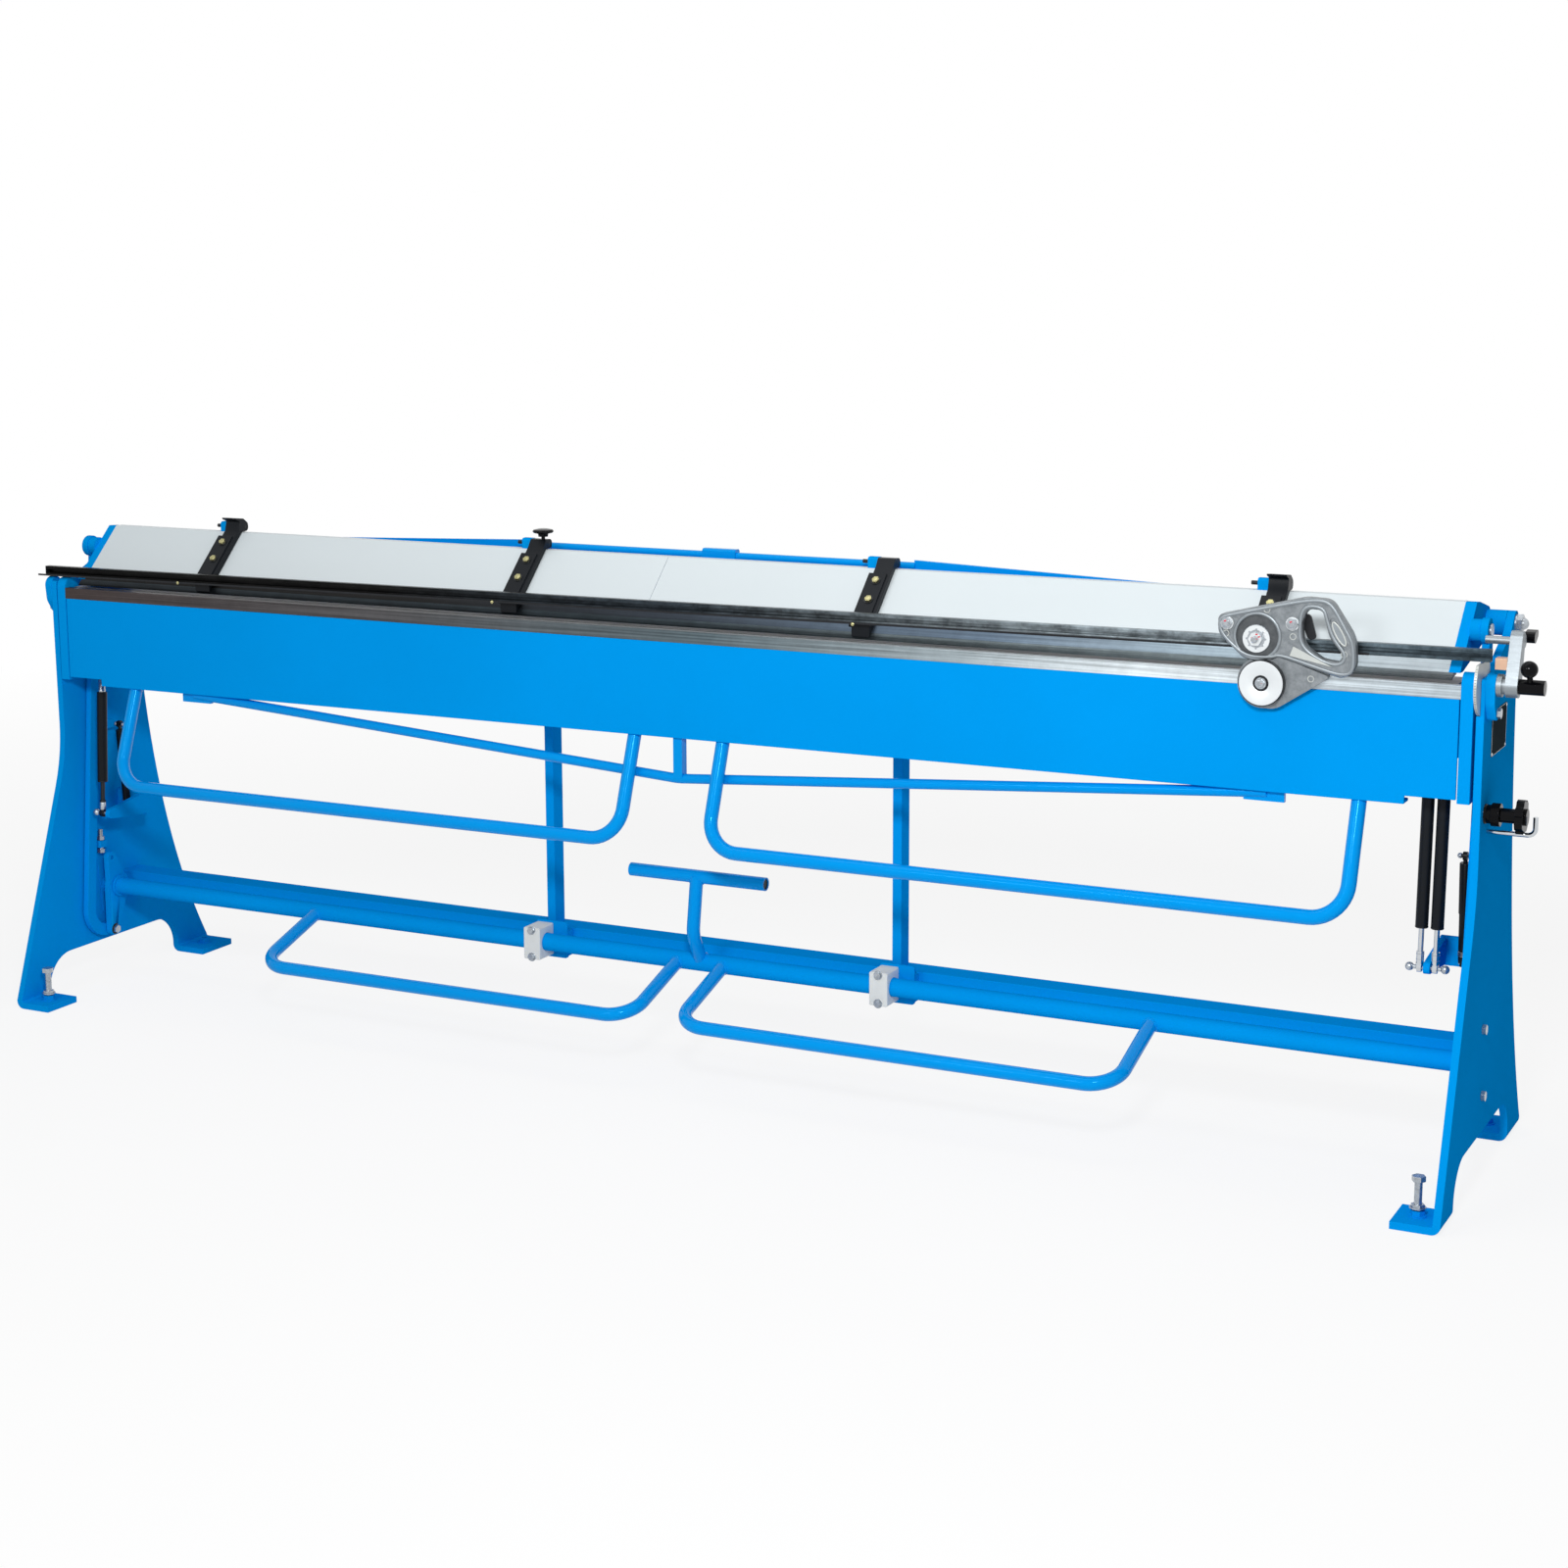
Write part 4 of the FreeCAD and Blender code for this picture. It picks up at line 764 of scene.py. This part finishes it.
# Screws, washers and the left end cap of the rail
rail = {"screws": ((-1244, 966), (-429, 970.5), (391, 974.5)), "stripFace": -148.3,
        "brackets": (-1190, -400, 400, 1190), "top": (-6, 1066), "slope": (0.7238, 0.69),
        "capHeight": 15.8, "boltPlaces": (43, 91), "boltOffset": -5, "crownRise": 5,
        "leftEnd": -1619, "endReach": 1.2, "capFaces": (-1.6, 0.3)}


def onSlope(down, out):
    return (rail["top"][0] - down * rail["slope"][0] - out * rail["slope"][1],
            rail["top"][1] - down * rail["slope"][1] + out * rail["slope"][0])


def addRailDetails():
    outward = (0, -rail["slope"][1], rail["slope"][0])
    screw = turned([(0, 0), (3.6, 0), (3.4, 1.0), (2.2, 1.8), (0, 2.0)], 20)
    spots = [((x, rail["stripFace"], z), front) for x, z in rail["screws"]]
    repeat("rail_screws", screw, spots, "rail_carrier", "yellowZinc")
    spots = []
    for x in rail["brackets"]:
        for down in rail["boltPlaces"]:
            y, z = onSlope(down, rail["capHeight"])
            spots.append(((x + rail["boltOffset"], y, z), outward))
    repeat("bracket_washers", washer(10, 4.5, 1.4), spots, "rail_carrier", "darkSteel")
    crown = turned([(0, 0), (5.2, 0), (4.6, 0.9), (2.6, 1.3), (0, 0.8)], 20)
    spots = [(tuple(Vector(place) + rail["crownRise"] * Vector(outward)), facing) for place, facing in spots]
    repeat("bracket_bolt_crowns", crown, spots, "rail_carrier", "yellowZinc")


def addRailCap():
    # A thin plate over the hollow left end: the hull of the rail's own outline there
    shape = bmesh.new()
    for corner in frame["nodes"]["cutter_rail"].data.vertices:
        if abs(corner.co.x * 1000 + middleX - rail["leftEnd"]) < rail["endReach"]:
            for out in rail["capFaces"]:
                shape.verts.new(corner.co + Vector((out / 1000, 0, 0)))
    hull = bmesh.ops.convex_hull(shape, input=shape.verts)
    bmesh.ops.delete(shape, geom=hull["geom_interior"], context="VERTS")
    addPiece("rail_left_cap", meshFrom(shape, "rail_cap"), "rail_carrier", "blackPaint")


# Right end: angle dial, data plate and star knob collar
rightEnd = {"outerFace": 1600, "foldAxis": (-135, 941), "dialRadius": 56, "dialFaces": (1587.5, 1592.5),
            "tickFrom": -80, "tickTo": 35, "tickStep": 5, "numberFrom": -75, "numberTo": 30,
            "numberStep": 15, "numberRadius": 45, "numberHeight": 7.5, "numberThick": 0.15,
            "numberGap": 0.1, "plateY": (-86, 34), "plateZ": (803, 885), "plateThick": 1,
            "rivetInset": 5, "edgeInset": 1.4, "edgeRise": 0.1, "edgeShort": 4, "starAxis": (-112, 707),
            "collarRadius": 20, "collarX": (1612, 1628), "collarRibs": 44}


def aroundFold(angle, radius):
    y, z = rightEnd["foldAxis"]
    return y - radius * math.cos(math.radians(angle)), z + radius * math.sin(math.radians(angle))


def addDial():
    longTicks, shortTicks = [], []
    steps = range(rightEnd["tickFrom"], rightEnd["tickTo"] + 1, rightEnd["tickStep"])
    left, right = rightEnd["dialFaces"]
    for angle in steps:
        y, z = aroundFold(angle, rightEnd["dialRadius"])
        outward = (0, -math.cos(math.radians(angle)), math.sin(math.radians(angle)))
        ticks = longTicks if angle % rightEnd["numberStep"] == 0 else shortTicks
        ticks.append((((left + right) / 2, y, z), outward, 90))
    repeat("dial_rim_ticks_long", block(0.7, 4.4, 0.5), longTicks, "frame", "darkSteel")
    repeat("dial_rim_ticks_short", block(0.6, 2.6, 0.5), shortTicks, "frame", "darkSteel")
    meshes = []
    axisX, axisY = Vector((0, -1, 0)), Vector((0, 0, 1))
    turn = Matrix((axisX, axisY, axisX.cross(axisY))).transposed().to_4x4()
    for angle in range(rightEnd["numberFrom"], rightEnd["numberTo"] + 1, rightEnd["numberStep"]):
        words = bpy.data.curves.new("dial_number", "FONT")
        words.body = str(angle - rightEnd["numberFrom"])
        words.size = rightEnd["numberHeight"] / 1000
        words.extrude = rightEnd["numberThick"] / 1000
        words.align_x = "CENTER"
        words.align_y = "CENTER"
        mesh = curveMesh("dial_number", words)
        y, z = aroundFold(angle, rightEnd["numberRadius"])
        mesh.transform(Matrix.Translation(at(left - rightEnd["numberGap"], y, z)) @ turn)
        meshes.append(mesh)
    joined("dial_numbers", meshes, "frame", "darkSteel")


def addDataPlateDetails():
    low, high = rightEnd["plateZ"]
    back, ahead = rightEnd["plateY"]
    plateFace = rightEnd["outerFace"] + rightEnd["plateThick"]
    inset = rightEnd["rivetInset"]
    rivets = [((plateFace, y, z), rightward) for y in (back + inset, ahead - inset)
              for z in (low + inset, high - inset)]
    repeat("data_plate_rivets", dome(2.6, 1.5), rivets, "frame", "brightSteel")
    inset = rightEnd["edgeInset"]
    edgeX = plateFace + rightEnd["edgeRise"]
    edges = [((edgeX, (back + ahead) / 2, z), rightward, 0) for z in (low + inset, high - inset)]
    sides = [((edgeX, y, (low + high) / 2), rightward, 90) for y in (back + inset, ahead - inset)]
    for name, span, spots in (("data_plate_long_edges", ahead - back, edges),
                              ("data_plate_short_edges", high - low, sides)):
        repeat(name, block(0.7, span - rightEnd["edgeShort"], 0.4), spots, "frame",
               "brightSteel")


def addStarCollar():
    starY, starZ = rightEnd["starAxis"]
    ribs = []
    x = sum(rightEnd["collarX"]) / 2
    for rib in range(rightEnd["collarRibs"]):
        angle = 2 * math.pi * rib / rightEnd["collarRibs"]
        facing = (0, math.cos(angle), math.sin(angle))
        reach = rightEnd["collarRadius"]
        place = (x, starY + reach * facing[1], starZ + reach * facing[2])
        ribs.append((place, facing))
    repeat("star_collar_ribs", block(14.5, 1.5, 1.4), ribs, "frame", "blackPlastic")
    cone = turned([(0, 0), (18, 0), (17.5, 3.5), (16, 6), (16, 11), (0, 11)], 40)
    joined("star_collar_cone", [moved(cone, (rightEnd["outerFace"], starY, starZ), rightward)], "frame",
           "blackPlastic")


# Threads of the levelling bolts and stop screws, and the washers of the levelling bolts
screws = {
    "levelling_threads": {"place": (1549, -286.25), "bottom": 37,
                          "thread": {"radius": 7.3, "pitch": 2, "length": 40, "core": 6.3}},
    "stop_screw_threads": {"place": (1571, -61), "bottom": 346,
                           "thread": {"radius": 5.4, "pitch": 1.5, "length": 14, "core": 4.8}}}
levellingWasher = {"size": (15, 7.4, 1.6), "level": 29.5}


def addThreads():
    for name, screw in screws.items():
        x, y = screw["place"]
        meshes = [moved(threaded(**screw["thread"]), (side * x, y, screw["bottom"])) for side in (1, -1)]
        joined(name, meshes, "frame", "zinc")
    x, y = screws["levelling_threads"]["place"]
    spots = [((side * x, y, levellingWasher["level"]), (0, 0, 1)) for side in (1, -1)]
    repeat("levelling_washers", washer(*levellingWasher["size"]), spots, "frame", "zinc")


# Gas struts: ribs, sleeves and glands on the front ones, and rings, guard tubes and ball studs on the rear
# ones. Places along a strut are millimetres from its first end.
struts = {
    "foot": (-98, 412), "head": (-72, 860), "places": {"right": (1493, 1521), "left": (-1529,)},
    "bodyTop": {"right": 375, "left": 280}, "ribsAt": (14, 24), "glandAt": 72.2, "footSleeveAt": 8,
    "topSleeveGap": 0.5, "topSleeveShort": 1, "eyeReach": 14,
    "rearFoot": (10, 400), "rearHead": (-5, 603), "rearX": 1547, "rearRingsAt": (13, 16.5, 20),
    "guardAt": 13, "guardLength": 96, "ballReach": 9.5, "ballRadius": 5.4}


def strutSpot(foot, head, x, share):
    span = math.hypot(head[0] - foot[0], head[1] - foot[1])
    along = ((head[0] - foot[0]) / span, (head[1] - foot[1]) / span)
    return (x, foot[0] + along[0] * share, foot[1] + along[1] * share), (0, along[0], along[1])


def addFrontStrutDetails():
    foot, head = struts["foot"], struts["head"]
    span = math.hypot(head[0] - foot[0], head[1] - foot[1])
    rib = turned([(6.4, 0), (7.4, 0.4), (7.4, 1.2), (6.4, 1.6), (6.4, 0)], 24)
    for side, places in struts["places"].items():
        top = struts["bodyTop"][side]
        reach = span - struts["eyeReach"] - top - struts["topSleeveShort"]
        ribSpots = [strutSpot(foot, head, x, share) for x in places for share in struts["ribsAt"]]
        repeat("strut_fitting_ribs_" + side, rib, ribSpots, "strut_rod_" + side, "zinc")
        if side == "left":
            sleeve = turned([(5.3, 0), (7.2, 0), (7.2, 16), (6.4, 18), (5.3, 18), (5.3, 0)], 28)
            spot = strutSpot(foot, head, places[0], struts["footSleeveAt"])
            joined("strut_foot_sleeve_left", [moved(sleeve, *spot)], "strut_rod_left", "zinc")
        sleeves, glands = [], []
        for x in places:
            sleeve = turned([(7.1, 0), (8.2, 0), (8.2, 5), (7.5, 6), (7.5, reach - 6), (8.4, reach - 5),
                             (8.4, reach), (7.1, reach), (7.1, 0)], 28)
            sleeves.append(moved(sleeve, *strutSpot(foot, head, x, top + struts["topSleeveGap"])))
            gland = turned([(5.2, 0), (10.5, 0), (11.9, 1.6), (11.9, 3), (5.2, 3), (5.2, 0)], 32)
            glands.append(moved(gland, *strutSpot(foot, head, x, struts["glandAt"])))
        joined("strut_top_sleeves_" + side, sleeves, "strut_cylinder_" + side, "zinc")
        joined("strut_glands_" + side, glands, "strut_cylinder_" + side, "darkSteel")


def addRearStrutDetails():
    foot, head = struts["rearFoot"], struts["rearHead"]
    reach = struts["guardLength"]
    radius = struts["ballRadius"]
    for side, x in (("right", struts["rearX"]), ("left", -struts["rearX"])):
        ring = turned([(8.9, 0), (10.2, 0.5), (10.2, 1.5), (8.9, 2), (8.9, 0)], 24)
        ringSpots = [strutSpot(foot, head, x, share) for share in struts["rearRingsAt"]]
        repeat("rear_strut_rings_" + side, ring, ringSpots, "rear_cylinder_" + side, "zinc")
        guard = turned([(4.05, 0), (9.3, 0), (10.1, 1.2), (10.1, reach), (9.4, reach), (9.4, 1.6),
                        (4.05, 1.6), (4.05, 0)], 32)
        spot = strutSpot(head, foot, x, struts["guardAt"])
        joined("rear_strut_guard_" + side, [moved(guard, *spot)], "rear_rod_" + side,
               "blackPaint")
        turns = [step * math.pi / 10 for step in range(1, 10)]
        arc = [(radius * math.sin(turn), -radius * math.cos(turn)) for turn in turns]
        ball = turned([(0, -radius)] + arc + [(0, radius)], 20)
        balls = [((x + way * struts["ballReach"], *head), (way, 0, 0)) for way in (-1, 1)]
        repeat("rear_strut_balls_" + side, ball, balls, "rear_rod_" + side, "zinc")


# Weld beads where tubes and plates meet, laid like overlapping coins. The saddle gap is how far a row of
# beads stands off the piece that carries the tube.
welds = {"tube": 14, "shaft": (-27, 223), "shaftRadius": 19, "pedalLow": (-245, 153.6), "bead": 2.7,
         "beads": 26, "saddleGap": 0.5, "pedals": ((-983, -62), (44, 971)),
         "handles": ((-1383, -101), (101, 1383)), "apronBottom": 720, "handleY": -135, "collarX": 1545.5,
         "stemX": -9, "stemFoot": (0, -0.35, 0.94), "stemHead": (0, -0.18, -0.98), "bar": (-45, 410),
         "plugs": (-163, 145), "leverBolt": (-46, 123), "leverFace": 1552}


def addShaftCollars():
    collar = turned([(19.1, 0), (25, 0), (25, 4.5), (23.5, 6), (19.1, 6), (19.1, 0)], 40)
    y, z = welds["shaft"]
    repeat("shaft_collars", collar, [((side * welds["collarX"], y, z), (side, 0, 0)) for side in (1, -1)],
           "pedal_drive", "bluePaint")
    y, z = welds["leverBolt"]
    spots = [((side * welds["leverFace"], y, z), (-side, 0, 0)) for side in (1, -1)]
    repeat("lever_bolt_washers", washer(12.5, 5, 1.2), spots, "pedal_drive", "darkSteel")
    head = turned([(0, 0), (10.1, 0), (10.1, 7.5), (9, 8.5), (0, 8.5)], 6)
    repeat("lever_bolt_heads", head, spots, "pedal_drive", "zinc")


def addTubePlugs():
    plug = turned([(0, 0), (10.9, 0), (10.9, 3), (0, 3), (0, 0)], 32)
    y, z = welds["bar"]
    spots = [((x, y, z), rightward) for x in welds["plugs"]]
    repeat("t_bar_plugs", plug, spots, "pedal_drive", "blackPlastic")


def ringSpots(centre, along, rise):
    # Spots in a ring round a tube, each set along the tube by what rise gives for its angle
    along = Vector(along).normalized()
    first = Vector((1, 0, 0)) if abs(along.x) < 0.9 else Vector((0, 1, 0))
    second = along.cross(first).normalized()
    first = second.cross(along).normalized()
    spots = []
    for step in range(welds["beads"]):
        angle = 2 * math.pi * step / welds["beads"]
        out = math.cos(angle) * first + math.sin(angle) * second
        place = Vector(centre) + welds["tube"] * out + rise(angle) * along
        spots.append((tuple(place), tuple((out + along * 0.8).normalized())))
    return spots


def saddleOn(radius):
    # How far out a tube's edge lies where the tube stands on a round bar of this radius
    def rise(angle):
        return math.sqrt(max(0, radius ** 2 - (welds["tube"] * math.sin(angle)) ** 2)) + welds["saddleGap"]
    return rise


def addBeads(name, spots, body):
    repeat(name, dome(1.0, 0.62), spots, body, "blueTube", welds["bead"], 60)


def addWelds():
    y, z = welds["shaft"]
    lowY, lowZ = welds["pedalLow"]
    onShaft = saddleOn(welds["shaftRadius"])
    spots = []
    for pair in welds["pedals"]:
        for x in pair:
            spots += ringSpots((x, y, z), (0, lowY - y, lowZ - z), onShaft)
    spots += ringSpots((welds["stemX"], y, z), welds["stemFoot"], onShaft)
    addBeads("shaft_welds", spots, "pedal_drive")
    spots = []
    for pair in welds["handles"]:
        for x in pair:
            spots += ringSpots((x, welds["handleY"], welds["apronBottom"] - welds["saddleGap"]), (0, 0, -1),
                               lambda angle: 0)
    addBeads("handle_welds", spots, "folding_beam")
    spots = ringSpots((welds["stemX"], *welds["bar"]), welds["stemHead"], saddleOn(welds["tube"]))
    addBeads("t_bar_welds", spots, "pedal_drive")


# Bearing blocks: round washers under the bolts
bearings = {"places": (-406, 406), "boltLevels": (193.5, 252.5), "face": -56}


def addBearingDetails():
    spots = [((x, bearings["face"], z), front) for x in bearings["places"] for z in bearings["boltLevels"]]
    repeat("bearing_washers", washer(9.5, 4, 1.4), spots, "frame", "zinc")


# Floor, world and lamps
stage = {"floorSize": 60.0, "floorSunk": 0.0006, "floorNear": 2.2, "floorFar": 6.0, "floorGlow": 0.86,
         "worldLight": 0.27,
         "lamps": (("keyLamp", (1.75, -3.3, 2.5), (0.6, 0, 0.75), (0.5, 0.42), 76),
                   ("fillLamp", (-0.9, -4.6, 2.7), (0, 0, 0.7), (1.3, 1.0), 36),
                   ("topLamp", (0.2, -0.3, 4.0), (0, 0, 0.8), (4.5, 1.4), 34))}


def addFloor():
    half = stage["floorSize"] / 2
    down = -stage["floorSunk"]
    mesh = bpy.data.meshes.new("floor")
    corners = [(-half, -half, down), (half, -half, down), (half, half, down), (-half, half, down)]
    mesh.from_pydata(corners, [], [(0, 1, 2, 3)])
    floor = bpy.data.objects.new("floor", mesh)
    bpy.context.scene.collection.objects.link(floor)
    material, tree, shader = newMaterial("pale_floor")
    space = patternSpace(tree)
    tone = ramp(tree, noise(tree, space, 1.5, 3), [(0.3, 0.84), (0.7, 0.88)])
    tree.links.new(tone, shader.inputs["Base Color"])
    shader.inputs["Roughness"].default_value = 0.9
    away = addNode(tree, "ShaderNodeVectorMath", operation="LENGTH")
    tree.links.new(space, away.inputs[0])
    glow = addNode(tree, "ShaderNodeMapRange")
    for socket, value in zip(("From Min", "From Max", "To Min", "To Max"),
                             (stage["floorNear"], stage["floorFar"], stage["floorGlow"], 1.0)):
        glow.inputs[socket].default_value = value
    tree.links.new(away.outputs["Value"], glow.inputs["Value"])
    seenShare = addNode(tree, "ShaderNodeMath", operation="MULTIPLY")
    tree.links.new(glow.outputs["Result"], seenShare.inputs[1])
    tree.links.new(whiteRays(tree), seenShare.inputs[0])
    white = addNode(tree, "ShaderNodeEmission", Strength=1.0)
    blend = addNode(tree, "ShaderNodeMixShader")
    tree.links.new(seenShare.outputs[0], blend.inputs[0])
    tree.links.new(shader.outputs[0], blend.inputs[1])
    tree.links.new(white.outputs[0], blend.inputs[2])
    tree.links.new(blend.outputs[0], tree.nodes["Material Output"].inputs["Surface"])
    mesh.materials.append(material)


def whiteRays(tree):
    # Camera, glossy and transmission rays see plain white. Lamps and a weak level world light the object.
    rays = addNode(tree, "ShaderNodeLightPath")
    seen = rays.outputs["Is Camera Ray"]
    for output in ("Is Glossy Ray", "Is Transmission Ray"):
        either = addNode(tree, "ShaderNodeMath", operation="MAXIMUM")
        tree.links.new(seen, either.inputs[0])
        tree.links.new(rays.outputs[output], either.inputs[1])
        seen = either.outputs[0]
    return seen


def addWorld():
    world = bpy.data.worlds.new("studio")
    world.use_nodes = True
    bpy.context.scene.world = world
    tree = world.node_tree
    background = tree.nodes["Background"]
    background.inputs["Color"].default_value = (1, 1, 1, 1)
    strength = tree.nodes.new("ShaderNodeMix")
    tree.links.new(whiteRays(tree), strength.inputs[0])
    strength.inputs[2].default_value = stage["worldLight"]
    strength.inputs[3].default_value = 1.0
    tree.links.new(strength.outputs[0], background.inputs["Strength"])


def addLamp(name, place, target, size, energy):
    data = bpy.data.lights.new(name, "AREA")
    data.shape = "RECTANGLE"
    data.size, data.size_y = size
    data.energy = energy
    lamp = bpy.data.objects.new(name, data)
    lamp.location = place
    lamp.rotation_euler = (Vector(target) - Vector(place)).to_track_quat("-Z", "Y").to_euler()
    lamp.visible_camera = False
    bpy.context.scene.collection.objects.link(lamp)


print("camera, floor and light")
addCamera()
addFloor()
addWorld()
for lamp in stage["lamps"]:
    addLamp(*lamp)
bpy.context.scene.view_settings.view_transform = "Standard"
print("materials on", len(frame["nodes"]), "nodes")
dressNodes()
roundNodes()
print("rounded pieces", len(rounding))
detailSteps = (addCastingDetails, addCutterBoltDetails, addHubDetails, addLowerRollerDetails, addRailDetails,
               addRailCap, addDial, addDataPlateDetails, addStarCollar, addThreads, addFrontStrutDetails,
               addRearStrutDetails, addShaftCollars, addTubePlugs, addWelds, addBearingDetails)
for addDetails in detailSteps:
    addDetails()
    print("details", addDetails.__name__)
